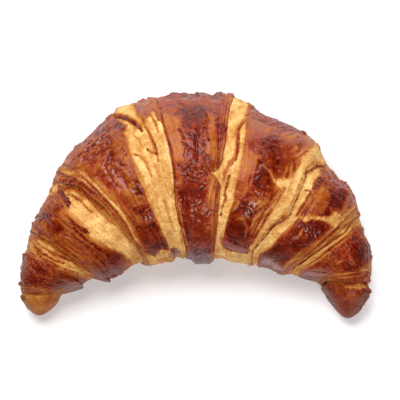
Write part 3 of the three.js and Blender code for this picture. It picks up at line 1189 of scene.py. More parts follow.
@dataclass(frozen=True)
class Crust:
    """The baked surface: matt cream dough that turns into a dark gloss as it browns.

    Cells are a noise's size in millimetres, how many finer layers it has and, where it is stretched,
    how many times longer it is along each axis. Each range is of the brown with its painted light and shade,
    from where a change starts to where it is complete, but the range of the specks is of their own noise.
    """

    brown_shades: tuple[Shade, ...] = (
        (220, 182, 118), (206, 161, 98), (187, 136, 76), (171, 114, 56), (156, 94, 39), (142, 74, 25),
        (129, 56, 14), (116, 40, 6), (103, 27, 2), (88, 16, 0), (68, 8, 0),
    )
    crimson_shades: tuple[Shade, ...] = (
        (220, 182, 118), (206, 161, 98), (187, 136, 78), (173, 113, 60), (159, 91, 47), (146, 69, 34),
        (133, 48, 23), (118, 31, 13), (103, 19, 7), (87, 10, 3), (66, 4, 2),
    )
    speck_shade: Shade = (196, 152, 104)
    matt: float = 0.68
    glossy: float = 0.36
    glossy_range: tuple[float, float] = (0.3, 0.75)
    coat_roughness: float = 0.23
    specular: float = 0.12
    sheen_colour: Triple = (1.0, 0.45, 0.15)
    coat: float = 0.8
    coat_range: tuple[float, float] = (0.35, 0.7)
    mottling: tuple[float, float] = (0.65, 0.5)
    mottling_range: tuple[float, float] = (0.1, 0.7)
    dark_range: tuple[float, float] = (0.45, 0.65)
    layered_range: tuple[float, float] = (0.2, 0.36)
    fine_cells: tuple[float, float] = (1.3, 2.0)
    fine_share: float = 0.45
    blotch_cells: tuple[float, float] = (6.0, 4.0)
    across_cells: tuple[float, float, Triple] = (1.3, 2.0, (5.0, 1.0, 1.0))
    along_cells: tuple[float, float, Triple] = (1.2, 2.0, (1.0, 9.0, 9.0))
    streak_share: float = 0.7
    speck_cells: tuple[float, float] = (0.8, 1.0)
    speck_strength: float = 0.6
    speck_range: tuple[float, float] = (0.55, 0.7)
    speckless_range: tuple[float, float] = (0.15, 0.4)
    grain_cells: tuple[float, float] = (0.6, 2.0)
    strand_cells: tuple[float, float, Triple] = (0.8, 2.0, (6.0, 1.0, 1.0))
    bump_strength: float = 0.5
    bump_height: float = 0.3
    glaze_bump: float = 0.12
    glaze_bump_range: tuple[float, float] = (0.4, 0.7)

    def material(self) -> bpy.types.Material:
        """Builds the material.

        Returns:
            The material.
        """
        nodes = Nodes("baked_crust")
        browned_and_shaded = self.browned_and_shaded(nodes)
        glazed = nodes.between(browned_and_shaded, *self.coat_range, 0.0, self.coat)
        nodes.feed(nodes.shader, {
            "Base Color": self.coloured(nodes, browned_and_shaded),
            "Roughness": nodes.between(browned_and_shaded, *self.glossy_range, self.matt, self.glossy),
            "Coat Weight": nodes.math("MULTIPLY", glazed, nodes.kept("gloss")),
            "Coat Roughness": self.coat_roughness,
            "Specular IOR Level": self.specular,
            "Specular Tint": (*self.sheen_colour, 1.0),
            "Normal": self.bumps(nodes),
        })
        return nodes.material

    def browned_and_shaded(self, nodes: Nodes) -> Socket:
        """How brown each place is, with its painted light and shade and the mottling of the crust.

        Args:
            nodes: the material's nodes.

        Returns:
            How brown each place is with its painted light and shade, from 0 to 1.
        """
        base = nodes.kept("browning")
        straight = nodes.kept("roll_place", "Vector")
        place = nodes.place()
        amount = nodes.between(base, *self.mottling_range, *self.mottling)
        dark = nodes.between(base, *self.dark_range, 0.0, 1.0)
        layered = nodes.math("SUBTRACT", nodes.between(base, *self.layered_range, 0.0, 1.0), dark)
        across = nodes.math("MULTIPLY", nodes.mottle(straight, *self.across_cells), dark)
        along = nodes.math("MULTIPLY", nodes.mottle(straight, *self.along_cells), layered)
        streaks = nodes.math("MULTIPLY", nodes.math("ADD", across, along), self.streak_share)
        fine = nodes.math("MULTIPLY", nodes.mottle(place, *self.fine_cells), self.fine_share)
        blotches = nodes.mottle(place, *self.blotch_cells)
        mottled = nodes.math("ADD", nodes.math("ADD", fine, blotches), streaks)
        return nodes.math("ADD", base, nodes.math("MULTIPLY", mottled, amount))

    def coloured(self, nodes: Nodes, browned_and_shaded: Socket) -> Socket:
        """Turns how brown a place is, with its painted light and shade, into a colour between brown and
        crimson, with specks where it is pale.

        Args:
            nodes: the material's nodes.
            browned_and_shaded: how brown each place is, with its painted light and shade.

        Returns:
            The colour.
        """
        glaze = nodes.mix("MIX", nodes.kept("redness"), nodes.ramp(browned_and_shaded, self.brown_shades),
                          nodes.ramp(browned_and_shaded, self.crimson_shades))
        speck_noise = nodes.noise(nodes.place(), *self.speck_cells)
        specks = nodes.between(speck_noise, *self.speck_range, 0.0, self.speck_strength)
        pale = nodes.between(browned_and_shaded, *self.speckless_range, 1.0, 0.0)
        return nodes.mix("MULTIPLY", nodes.math("MULTIPLY", specks, pale), glaze, linear(self.speck_shade))

    def bumps(self, nodes: Nodes) -> Socket:
        """The finest relief of the crust, which is too small for the mesh.

        Args:
            nodes: the material's nodes.

        Returns:
            The normal.
        """
        grain = nodes.noise(nodes.place(), *self.grain_cells)
        strands = nodes.noise(nodes.kept("roll_place", "Vector"), *self.strand_cells)
        matt = nodes.between(nodes.kept("browning"), *self.glaze_bump_range, 1.0, self.glaze_bump)
        height = nodes.math("MULTIPLY", nodes.math("ADD", grain, strands), matt)
        feeds = {"Strength": self.bump_strength, "Distance": self.bump_height * MM, "Height": height}
        return nodes.add("ShaderNodeBump", "Normal", feeds)


@dataclass(frozen=True)
class Softbox:
    """A flat soft light that faces the croissant. Its place and size are in millimetres."""

    name: str
    place: Triple
    size: tuple[float, float]
    watts: float

    def hang(self) -> None:
        """Hangs the light at its place and turns it to the croissant."""
        x, y, z = (value * MM for value in self.place)
        bpy.ops.object.light_add(type="AREA", location=(x, y, z))
        lamp = bpy.context.object
        lamp.name = self.name
        lamp.data.shape = "RECTANGLE"
        lamp.data.size, lamp.data.size_y = (side * MM for side in self.size)
        lamp.data.energy = self.watts
        lean = math.atan2(math.hypot(x, y), z)
        lamp.rotation_euler = (lean, 0.0, math.atan2(-x, y) + math.pi)


@dataclass(frozen=True)
class Studio:
    """The pale table, the soft light and the camera. Lengths are in millimetres."""

    elevation: float = 78.0
    distance: float = 750.0
    frame_width: float = 189.2
    aim: Triple = (1.9, 1.55, 20.0)
    sensor: float = 36.0
    sight: float = 20000.0
    table_size: float = 6000.0
    table_shades: tuple[Shade, ...] = ((236, 235, 235), (241, 240, 240))
    table_grain: float = 40.0
    table_roughness: float = 0.8
    fill: float = 0.125
    softboxes: tuple[Softbox, ...] = (
        Softbox("key_light", (-170.0, 330.0, 900.0), (560.0, 480.0), 9.6),
        Softbox("front_light", (120.0, -520.0, 760.0), (220.0, 140.0), 5.0),
        Softbox("back_light", (0.0, 900.0, 560.0), (1300.0, 380.0), 5.0),
        Softbox("back_panel", (0.0, 1200.0, 220.0), (2200.0, 360.0), 7.0),
        Softbox("front_panel", (0.0, -1200.0, 150.0), (2200.0, 260.0), 0.6),
    )

    def camera(self) -> None:
        """Places the camera at the photograph's angle."""
        tilt = math.radians(self.elevation)
        back = (0.0, -math.cos(tilt), math.sin(tilt))
        place = tuple((a + b * self.distance) * MM for a, b in zip(self.aim, back))
        bpy.ops.object.camera_add(location=place, rotation=(math.pi / 2 - tilt, 0, 0))
        camera = bpy.context.object
        camera.data.sensor_width = self.sensor
        camera.data.lens = self.sensor * self.distance / self.frame_width
        camera.data.clip_end = self.sight * MM
        bpy.context.scene.camera = camera

    def table(self) -> None:
        """Lays the pale table top under the croissant."""
        bpy.ops.object.select_all(action="DESELECT")
        bpy.ops.mesh.primitive_plane_add(size=self.table_size * MM, location=(0, 0, 0))
        table = bpy.context.object
        table.name = "table_top"
        nodes = Nodes("pale_table")
        grain = nodes.add("ShaderNodeTexNoise", "Fac", {"Vector": nodes.place(), "Scale": self.table_grain})
        nodes.feed(nodes.shader, {
            "Base Color": nodes.ramp(grain, self.table_shades),
            "Roughness": self.table_roughness,
        })
        table.data.materials.append(nodes.material)

    def lights(self) -> None:
        """Hangs the softboxes and fills the rest faintly from all round."""
        world = bpy.data.worlds.new("studio_fill")
        world.use_nodes = True
        background = world.node_tree.nodes["Background"]
        background.inputs["Color"].default_value = (1.0, 1.0, 1.0, 1.0)
        background.inputs["Strength"].default_value = self.fill
        bpy.context.scene.world = world
        for softbox in self.softboxes:
            softbox.hang()
        bpy.context.scene.view_settings.view_transform = "Standard"


def leaf(station: float, degrees: float, wide: float, raised: float) -> Patch:
    """A small leaf of crust that tore loose and stands up.

    Args:
        station: its place along the roll.
        degrees: its place round it.
        wide: half its width, in stations.
        raised: its height in millimetres.

    Returns:
        The patch.
    """
    corners = ((-1.0, -3.0), (0.2, -6.0), (1.0, -2.0), (0.7, 6.0), (-0.6, 8.0))
    points = tuple((station + s * wide, degrees + d) for s, d in corners)
    return Patch(points, BrowningAndShade.UMBER, soft=0.4, raised=raised, strength=0.5, ragged=0.5)


def bands(degrees: tuple[float, ...], *rows: tuple) -> tuple[Band, ...]:
    """Bands whose lines are told at the same places round the roll.

    Args:
        degrees: the places.
        *rows: for each band, how brown it is, and then its station at each place.

    Returns:
        The bands.
    """
    return tuple(Band(tuple(zip(degrees, stations)), bake) for bake, *stations in rows)


LEFT_HORN = Turn(
    "left_horn", 0, 1, End.TIP, End.COVERED, redness=0.0, shine=0.5, seed=11, puff=0.3, step=0.8, facets=88,
    rows=16,
    bands=(
        *bands((0,), (BrowningAndShade.AMBER, 0.0), (BrowningAndShade.AMBER, 0.3), (BrowningAndShade.GOLD, 0.66), (BrowningAndShade.RUSSET, 0.86)),
    ),
    patches=(
        Patch(((0.72, 0), (0.7, 20), (0.6, 40), (0.5, 28), (0.5, 8)), BrowningAndShade.BLACKENED, 0.6, 0.5),
        Patch(((0.1, 30), (0.66, 40), (0.66, 150), (0.1, 150)), BrowningAndShade.AMBER, 2.0, 0.0, 0.3, calm=0.85),
    ),
    strokes=(
        Stroke(((0.44, 20), (0.26, 5), (0.09, 10)), BrowningAndShade.CHESTNUT, 0.7),
        Stroke(((0.68, 44), (0.66, 93), (0.72, 150)), BrowningAndShade.RUSSET, 0.8),
    ),
)
THIRD_LEFT_TURN = Turn(
    "third_left_turn", 1, 2, End.FREE, End.COVERED, redness=0.0, shine=0.5, seed=12, puff=0.9, step=0.7,
    bow=1.2, creases=Creases.ALONG, facets=104, rows=17,
    left_ledges=(
        Ledge(((0, 0.98), (60, 0.93), (110, 0.88), (160, 0.95), (270, 1.1)), 0.4),
        Ledge(((0, 0.92), (60, 0.85), (110, 0.81), (160, 0.88), (270, 1.05)), 0.5),
    ),
    bands=(
        *bands((34, 68, 96, 132, 173, 270),
               (BrowningAndShade.RUSSET, 0.8, 0.76, 0.72, 0.74, 0.85, 1.0),
               (BrowningAndShade.GOLD, 0.9, 0.82, 0.79, 0.79, 0.9, 1.05),
               (BrowningAndShade.CHESTNUT, 0.95, 0.87, 0.84, 0.84, 0.95, 1.1),
               (BrowningAndShade.UMBER, 1.02, 0.94, 0.92, 0.93, 1.05, 1.2)),
        *bands((34, 64, 90, 111, 142, 162, 270),
               (BrowningAndShade.UMBER, 1.56, 1.48, 1.42, 1.4, 1.46, 1.5, 1.6),
               (BrowningAndShade.RUSSET, 1.64, 1.56, 1.5, 1.48, 1.54, 1.6, 1.7),
               (BrowningAndShade.GOLD, 1.72, 1.66, 1.6, 1.58, 1.68, 1.78, 1.8)),
        *bands((0,), (BrowningAndShade.GOLD, 1.88), (BrowningAndShade.RUSSET, 2.0)),
    ),
    patches=(
        Patch(((1.6, 97), (1.72, 108), (1.8, 128), (1.84, 148), (1.7, 144), (1.6, 122), (1.54, 106)),
            BrowningAndShade.STRAW, 1.2, 0.2),
        Patch(((1.7, 62), (1.9, 66), (1.9, 92), (1.74, 92)), BrowningAndShade.STRAW, 1.4, 0.0, 0.8),
        Patch(((1.62, 12), (1.62, 50), (1.5, 60), (1.3, 40), (1.3, 15)), BrowningAndShade.MAHOGANY, 2.0, gloss=0.3),
        Patch(((1.04, 60), (1.3, 56), (1.52, 70), (1.56, 90), (1.4, 100), (1.1, 100)), BrowningAndShade.UMBER, 2.4),
        Patch(((1.1, 140), (1.5, 148), (1.55, 168), (1.1, 172), (0.95, 155)), BrowningAndShade.MAHOGANY, 2.0,
            gloss=0.5),
        leaf(1.03, 14, 0.04, 0.7), leaf(1.24, 12, 0.04, 0.5), leaf(1.62, 12, 0.05, 0.4),
    ),
    strokes=(
        Stroke(((1.9, 49), (1.86, 66), (1.84, 86), (1.88, 106), (1.9, 130)), BrowningAndShade.CHESTNUT, 0.6, 0.5,
            ragged=1.0),
        Stroke(((1.8, 44), (1.74, 66), (1.7, 88), (1.74, 104)), BrowningAndShade.CHESTNUT, 0.6, 0.6, ragged=1.0),
        Stroke(((1.68, 58), (1.63, 80), (1.6, 96), (1.62, 116), (1.7, 138)), BrowningAndShade.CHESTNUT, 0.6, 0.5,
            ragged=1.0),
        Stroke(((1.93, 48), (1.9, 60), (1.88, 80)), BrowningAndShade.CREAM, 0.7, -0.4),
        Stroke(((1.53, 70), (1.4, 87), (1.34, 106), (1.4, 132)), BrowningAndShade.CHESTNUT, 0.7, -0.5, 0.6),
        Stroke(((1.36, 56), (1.2, 80), (1.15, 105), (1.21, 120)), BrowningAndShade.CHESTNUT, 0.7, -0.5, 0.6),
        Stroke(((1.28, 109), (1.24, 140), (1.41, 157)), BrowningAndShade.RUSSET, 0.7, -0.6, 0.5),
        Stroke(((1.05, 95), (1.01, 123), (1.04, 163)), BrowningAndShade.CHESTNUT, 0.7, -0.4, 0.6),
    ),
)
SECOND_LEFT_TURN = Turn(
    "second_left_turn", 2, 3, End.FREE, End.COVERED, redness=0.1, shine=0.45, seed=13, bow=-2.2,
    creases=Creases.ALONG,
    left_ledges=(
        Ledge(((0, 2.2), (60, 2.12), (90, 2.06), (130, 2.03), (170, 2.08), (270, 2.1)), 0.5),
    ),
    bands=(
        *bands((27, 82, 111, 164, 270),
               (BrowningAndShade.AMBER, 2.06, 2.0, 1.97, 1.97, 2.0)),
        *bands((27, 60, 82, 111, 164, 270),
               (BrowningAndShade.RUSSET, 2.14, 2.08, 2.06, 2.0, 2.0, 2.06),
               (BrowningAndShade.RUSSET, 2.26, 2.18, 2.13, 2.04, 2.04, 2.1)),
        *bands((27, 60, 80, 97, 111, 128, 140, 159, 270),
               (BrowningAndShade.RUSSET, 2.6, 2.48, 2.35, 2.46, 2.5, 2.58, 2.66, 2.74, 2.6),
               (BrowningAndShade.AMBER, 2.66, 2.56, 2.46, 2.52, 2.55, 2.63, 2.71, 2.79, 2.7),
               (BrowningAndShade.STRAW, 2.75, 2.66, 2.58, 2.6, 2.6, 2.68, 2.76, 2.84, 2.75)),
        *bands((0,), (BrowningAndShade.STRAW, 3.0)),
    ),
    patches=(
        Patch(((2.76, 73), (2.91, 74), (2.97, 84), (2.94, 102), (3.02, 113), (2.98, 127), (3.0, 142),
            (2.85, 146), (2.72, 136), (2.66, 122), (2.66, 107), (2.69, 94), (2.71, 80)), BrowningAndShade.CREAM, 2.4),
        Patch(((3.04, 87), (3.12, 93), (3.11, 108), (3.12, 117), (3.1, 141), (3.04, 136), (3.05, 125),
            (3.05, 115), (3.02, 108), (2.99, 103), (2.99, 95)), BrowningAndShade.GOLD, 0.5, 0.5, 1.0, 0.4),
        Patch(((2.86, 50), (2.98, 58), (3.02, 68), (3.0, 76), (2.9, 74), (2.87, 62)), BrowningAndShade.GOLD, 1.2),
        Patch(((2.85, 36), (2.87, 48), (2.84, 58), (2.78, 60), (2.78, 48)), BrowningAndShade.UMBER, 0.7, gloss=0.3),
        Patch(((2.83, 57), (2.83, 64), (2.78, 70), (2.71, 73), (2.71, 66), (2.76, 60)), BrowningAndShade.UMBER, 0.7,
            gloss=0.3),
        Patch(((2.75, 30), (2.78, 50), (2.7, 66), (2.6, 78), (2.47, 70), (2.46, 50), (2.5, 30)),
            BrowningAndShade.RUSSET, 1.8, 0.0, 0.9),
        Patch(((2.63, 52), (2.67, 61), (2.57, 67), (2.51, 60)), BrowningAndShade.CHESTNUT, 1.2),
        Patch(((2.31, 27), (2.42, 40), (2.46, 58), (2.34, 62), (2.25, 44)), BrowningAndShade.UMBER, 1.0, gloss=0.4),
        Patch(((2.31, 60), (2.42, 70), (2.36, 80), (2.2, 76), (2.11, 70), (2.18, 62)), BrowningAndShade.UMBER, 1.4, 0.2,
            0.7, 1.6),
        Patch(((2.14, 46), (2.23, 58), (2.18, 64), (2.09, 58)), BrowningAndShade.RUSSET, 0.8, 0.3, gloss=0.5),
        Patch(((2.44, 74), (2.62, 74), (2.64, 90), (2.52, 94), (2.44, 86)), BrowningAndShade.RUSSET, 1.4, 0.0, 0.8),
        Patch(((2.5, 84), (2.55, 86), (2.62, 97), (2.6, 102), (2.54, 98)), BrowningAndShade.UMBER, 0.7, -0.3),
        Patch(((2.2, 84), (2.46, 86), (2.5, 112), (2.34, 124), (2.16, 104)), BrowningAndShade.RUSSET, 1.8, 0.0, 0.7,
            gloss=0.4, calm=0.6),
        Patch(((2.02, 128), (2.3, 118), (2.56, 124), (2.76, 150), (2.6, 168), (2.14, 192), (1.98, 160)),
            BrowningAndShade.MAHOGANY, 2.0, gloss=-0.1, calm=0.3),
        Patch(((1.98, 182), (2.06, 174), (2.14, 178), (2.12, 200), (2.04, 202)), BrowningAndShade.CHESTNUT, 0.4, 1.2,
            0.6, gloss=-0.4),
        Patch(((2.2, 184), (2.28, 178), (2.34, 184), (2.3, 198)), BrowningAndShade.CHESTNUT, 0.4, 0.9, 0.6, gloss=-0.4),
        leaf(2.18, 12, 0.04, 0.7), leaf(2.33, 16, 0.05, 0.8), leaf(2.79, 20, 0.04, 0.7),
        leaf(2.9, 22, 0.05, 0.9),
    ),
    strokes=(
        Stroke(((2.85, 58), (2.9, 66), (2.92, 76), (2.9, 90)), BrowningAndShade.RUSSET, 0.6, 0.5, ragged=1.0),
        # Painted shadow under the first left turn's lip, laid on this turn.
        Stroke(((2.87, 36), (2.9, 47), (2.95, 54), (2.99, 61), (3.02, 68), (3.03, 80), (3.06, 92)),
            BrowningAndShade.CHESTNUT, 1.3, 0.3, 0.9, 0.8),
        Stroke(((2.98, 70), (3.01, 84), (2.99, 94)), BrowningAndShade.AMBER, 0.5, 0.4),
        Stroke(((2.21, 84), (2.28, 97), (2.29, 114), (2.25, 134), (2.2, 159)), BrowningAndShade.RUSSET, 0.8, -0.7, 0.6),
        Stroke(((2.25, 80), (2.32, 92), (2.33, 106), (2.31, 123), (2.3, 143)), BrowningAndShade.CHESTNUT, 0.6, 0.6,
            ragged=1.0),
        Stroke(((2.41, 87), (2.39, 98), (2.41, 114), (2.44, 131)), BrowningAndShade.RUSSET, 0.8, -0.7, 0.6),
        Stroke(((2.36, 84), (2.35, 98), (2.37, 114), (2.38, 131)), BrowningAndShade.CHESTNUT, 0.6, 0.6, ragged=1.0),
        Stroke(((2.48, 88), (2.45, 100), (2.46, 116), (2.5, 134)), BrowningAndShade.UMBER, 0.6, 0.6, ragged=1.0),
        Stroke(((2.14, 92), (2.15, 110), (2.12, 130)), BrowningAndShade.AMBER, 0.7, -0.5, 0.7),
    ),
)
FIRST_LEFT_TURN = Turn(
    "first_left_turn", 3, 4, End.FREE, End.COVERED, redness=0.25, seed=14, puff=1.1, step=0.5, bow=0.6,
    left_ledges=(
        Ledge(((0, 3.1), (41, 3.12), (56, 3.14), (79, 3.15), (95, 3.17), (113, 3.17), (126, 3.14),
            (150, 3.13), (270, 3.1)), 0.5),
        Ledge(((0, 3.0), (43, 3.03), (59, 3.08), (70, 3.1), (92, 3.13), (120, 3.12), (150, 3.1),
            (270, 3.04)), 0.5),
    ),
    bands=(
        *bands((0, 38, 54, 70, 92, 165, 270),
               (BrowningAndShade.AMBER, 2.92, 2.92, 2.99, 3.06, 3.1, 3.06, 3.0)),
        *bands((0, 40, 60, 90, 120, 150, 270),
               (BrowningAndShade.GOLD, 2.98, 3.0, 3.07, 3.13, 3.12, 3.11, 3.05)),
        *bands((0, 38, 60, 80, 100, 115, 135, 155, 270),
               (BrowningAndShade.STRAW, 3.06, 3.07, 3.13, 3.18, 3.2, 3.2, 3.14, 3.12, 3.12)),
        *bands((0, 33, 60, 75, 90, 103, 115, 135, 155, 270),
               (BrowningAndShade.AMBER, 3.1, 3.1, 3.17, 3.2, 3.26, 3.28, 3.25, 3.17, 3.15, 3.2),
               (BrowningAndShade.CHESTNUT, 3.16, 3.17, 3.24, 3.28, 3.33, 3.35, 3.31, 3.22, 3.19, 3.3)),
        *bands((0, 60, 90, 115, 150, 270),
               (BrowningAndShade.CHESTNUT, 3.3, 3.36, 3.42, 3.38, 3.3, 3.4)),
        *bands((15, 43, 70, 90, 98, 126, 155, 270),
               (BrowningAndShade.MAHOGANY, 3.62, 3.66, 3.61, 3.57, 3.6, 3.6, 3.62, 3.65)),
        *bands((15, 43, 70, 98, 126, 155, 270),
               (BrowningAndShade.GOLD, 3.65, 3.69, 3.65, 3.63, 3.63, 3.65, 3.7),
               (BrowningAndShade.CREAM, 3.69, 3.73, 3.69, 3.68, 3.67, 3.7, 3.75)),
        *bands((0,), (BrowningAndShade.CREAM, 4.1)),
    ),
    patches=(
        Patch(((3.72, 42), (3.94, 44), (3.95, 58), (3.78, 60)), BrowningAndShade.AMBER, 1.2, 0.0, 0.35),
        Patch(((3.72, 10), (3.83, 14), (3.87, 28), (3.84, 43), (3.82, 57), (3.76, 47), (3.7, 36),
            (3.66, 28)), BrowningAndShade.CREAM, 0.8, 1.4, 1.0, 0.4),
        Patch(((3.64, 44), (3.68, 45), (3.71, 51), (3.68, 55), (3.64, 54)), BrowningAndShade.UMBER, 0.5),
        Patch(((3.6, 8), (3.72, 14), (3.66, 30), (3.62, 34), (3.58, 20)), BrowningAndShade.CHESTNUT, 1.0, gloss=0.3),
        Patch(((3.86, 12), (3.97, 20), (4.03, 42), (3.97, 52), (3.89, 54), (3.86, 44), (3.85, 30)),
            BrowningAndShade.CHESTNUT, 0.7, 0.5, 0.9, gloss=0.4),
        Patch(((3.9, 60), (3.92, 68), (3.93, 77), (3.94, 83), (3.92, 88), (3.9, 94), (3.92, 104),
            (3.98, 112), (4.1, 100), (4.1, 60)), BrowningAndShade.CREAM, 1.0, 0.9, 0.9, 0.3),
        Patch(((3.63, 51), (3.66, 60), (3.64, 71), (3.62, 83), (3.54, 83), (3.53, 70), (3.55, 54)),
            BrowningAndShade.RUSSET, 1.6),
        Patch(((3.53, 53), (3.5, 64), (3.45, 68), (3.39, 69), (3.44, 60)), BrowningAndShade.UMBER, 1.2, 0.0, 0.9),
        Patch(((3.39, 65), (3.45, 67), (3.46, 72), (3.43, 75), (3.38, 72)), BrowningAndShade.UMBER, 1.0),
        Patch(((3.28, 62), (3.42, 72), (3.54, 90), (3.5, 104), (3.36, 102), (3.34, 86)), BrowningAndShade.RUSSET, 1.6,
            0.0, 1.0, gloss=0.35),
        Patch(((3.51, 84), (3.6, 90), (3.62, 100), (3.56, 100), (3.48, 96)), BrowningAndShade.MAHOGANY, 1.2, 0.0, 0.9),
        Patch(((3.46, 78), (3.58, 80), (3.6, 92), (3.5, 96), (3.44, 88)), BrowningAndShade.RUSSET, 1.2, 0.0, 0.8),
        Patch(((3.44, 97), (3.6, 103), (3.62, 109), (3.46, 107), (3.36, 104)), BrowningAndShade.RUSSET, 1.0, 0.4, 0.8,
            gloss=0.4),
        Patch(((3.38, 106), (3.6, 109), (3.62, 122), (3.48, 120), (3.38, 112)), BrowningAndShade.MAHOGANY, 1.0),
        Patch(((3.3, 109), (3.36, 106), (3.42, 116), (3.38, 121), (3.29, 119)), BrowningAndShade.RUSSET, 1.0, 0.3, 0.8),
        Patch(((3.28, 120), (3.6, 123), (3.62, 150), (3.47, 153), (3.28, 149), (3.22, 133)), BrowningAndShade.UMBER,
            1.6, gloss=-0.1),
        Patch(((3.4, 128), (3.56, 132), (3.54, 142), (3.4, 138)), BrowningAndShade.CHESTNUT, 1.6, 0.0, 0.8),
        Patch(((3.27, 145), (3.41, 152), (3.34, 162), (3.26, 155)), BrowningAndShade.UMBER, 0.7),
        Patch(((3.2, 156), (3.3, 164), (3.36, 156), (3.49, 151), (3.67, 157), (3.78, 167), (3.9, 200),
            (3.86, 236), (3.1, 236), (3.04, 190), (3.02, 156)), BrowningAndShade.STRAW, 0.8),
        Patch(((3.69, 155), (3.84, 163), (3.98, 174), (3.76, 178), (3.62, 166)), BrowningAndShade.CHESTNUT, 0.8,
            gloss=0.8),
        leaf(3.02, 24, 0.05, 0.7), leaf(3.3, 14, 0.04, 0.5), leaf(3.62, 14, 0.04, 0.7),
        leaf(3.93, 18, 0.04, 0.7),
    ),
    strokes=(
        # A groove along the raised flap's edge: partly the crack's own dark, partly painted shadow under the
        # flap.
        Stroke(((3.66, 30), (3.7, 36), (3.74, 43), (3.78, 50), (3.82, 57), (3.84, 63)), BrowningAndShade.BLACKENED,
            0.75, 1.5, 1.0, 0.4),
        Stroke(((3.87, 53), (3.9, 64), (3.92, 73), (3.93, 82), (3.92, 88)), BrowningAndShade.RUSSET, 0.6, 0.7),
        Stroke(((3.98, 52), (4.0, 60), (4.01, 70)), BrowningAndShade.RUSSET, 0.6, 0.4),
        Stroke(((3.83, 78), (3.87, 81), (3.92, 83)), BrowningAndShade.CHESTNUT, 0.5, 0.4),
        Stroke(((3.66, 76), (3.73, 80), (3.77, 86), (3.78, 94)), BrowningAndShade.AMBER, 0.5, 0.4),
        Stroke(((3.86, 112), (3.85, 126), (3.88, 140)), BrowningAndShade.GOLD, 0.6, 0.4),
        Stroke(((3.74, 62), (3.78, 68), (3.79, 76)), BrowningAndShade.GOLD, 0.6, 0.3),
        Stroke(((3.12, 41), (3.14, 56), (3.14, 68), (3.15, 79), (3.15, 88), (3.16, 95), (3.18, 103),
            (3.18, 113), (3.14, 126), (3.12, 142)), BrowningAndShade.CHESTNUT, 0.45, 0.4, 0.9, 0.8),
        Stroke(((3.16, 52), (3.19, 67), (3.2, 79), (3.21, 88), (3.23, 95), (3.24, 104), (3.22, 113)),
            BrowningAndShade.RUSSET, 0.45, 0.3, 0.9, 0.8),
        Stroke(((3.19, 88), (3.21, 97), (3.23, 104), (3.21, 113), (3.17, 123), (3.13, 136)), BrowningAndShade.CREAM,
            0.6, -0.4, 0.8),
        # A dark line along this turn's own edge: partly the lip's own browning, partly painted shadow where
        # it overhangs the second left turn.
        Stroke(((2.94, 38), (2.97, 46), (3.01, 54), (3.05, 61), (3.08, 68), (3.09, 80)), BrowningAndShade.UMBER, 1.0,
            0.2, 1.0, 0.8),
        Stroke(((3.46, 128), (3.5, 140), (3.48, 152)), BrowningAndShade.BLACKENED, 0.7, 0.5),
        Stroke(((3.19, 40), (3.3, 42), (3.43, 46), (3.56, 45)), BrowningAndShade.UMBER, 0.8, 0.7, 1.0, 1.0),
        Stroke(((3.26, 54), (3.34, 56), (3.44, 55), (3.52, 58)), BrowningAndShade.UMBER, 0.7, 0.6, 1.0, 1.0),
        Stroke(((3.22, 47), (3.34, 49), (3.5, 51)), BrowningAndShade.AMBER, 0.6, -0.6, 0.7, 1.0),
    ),
)
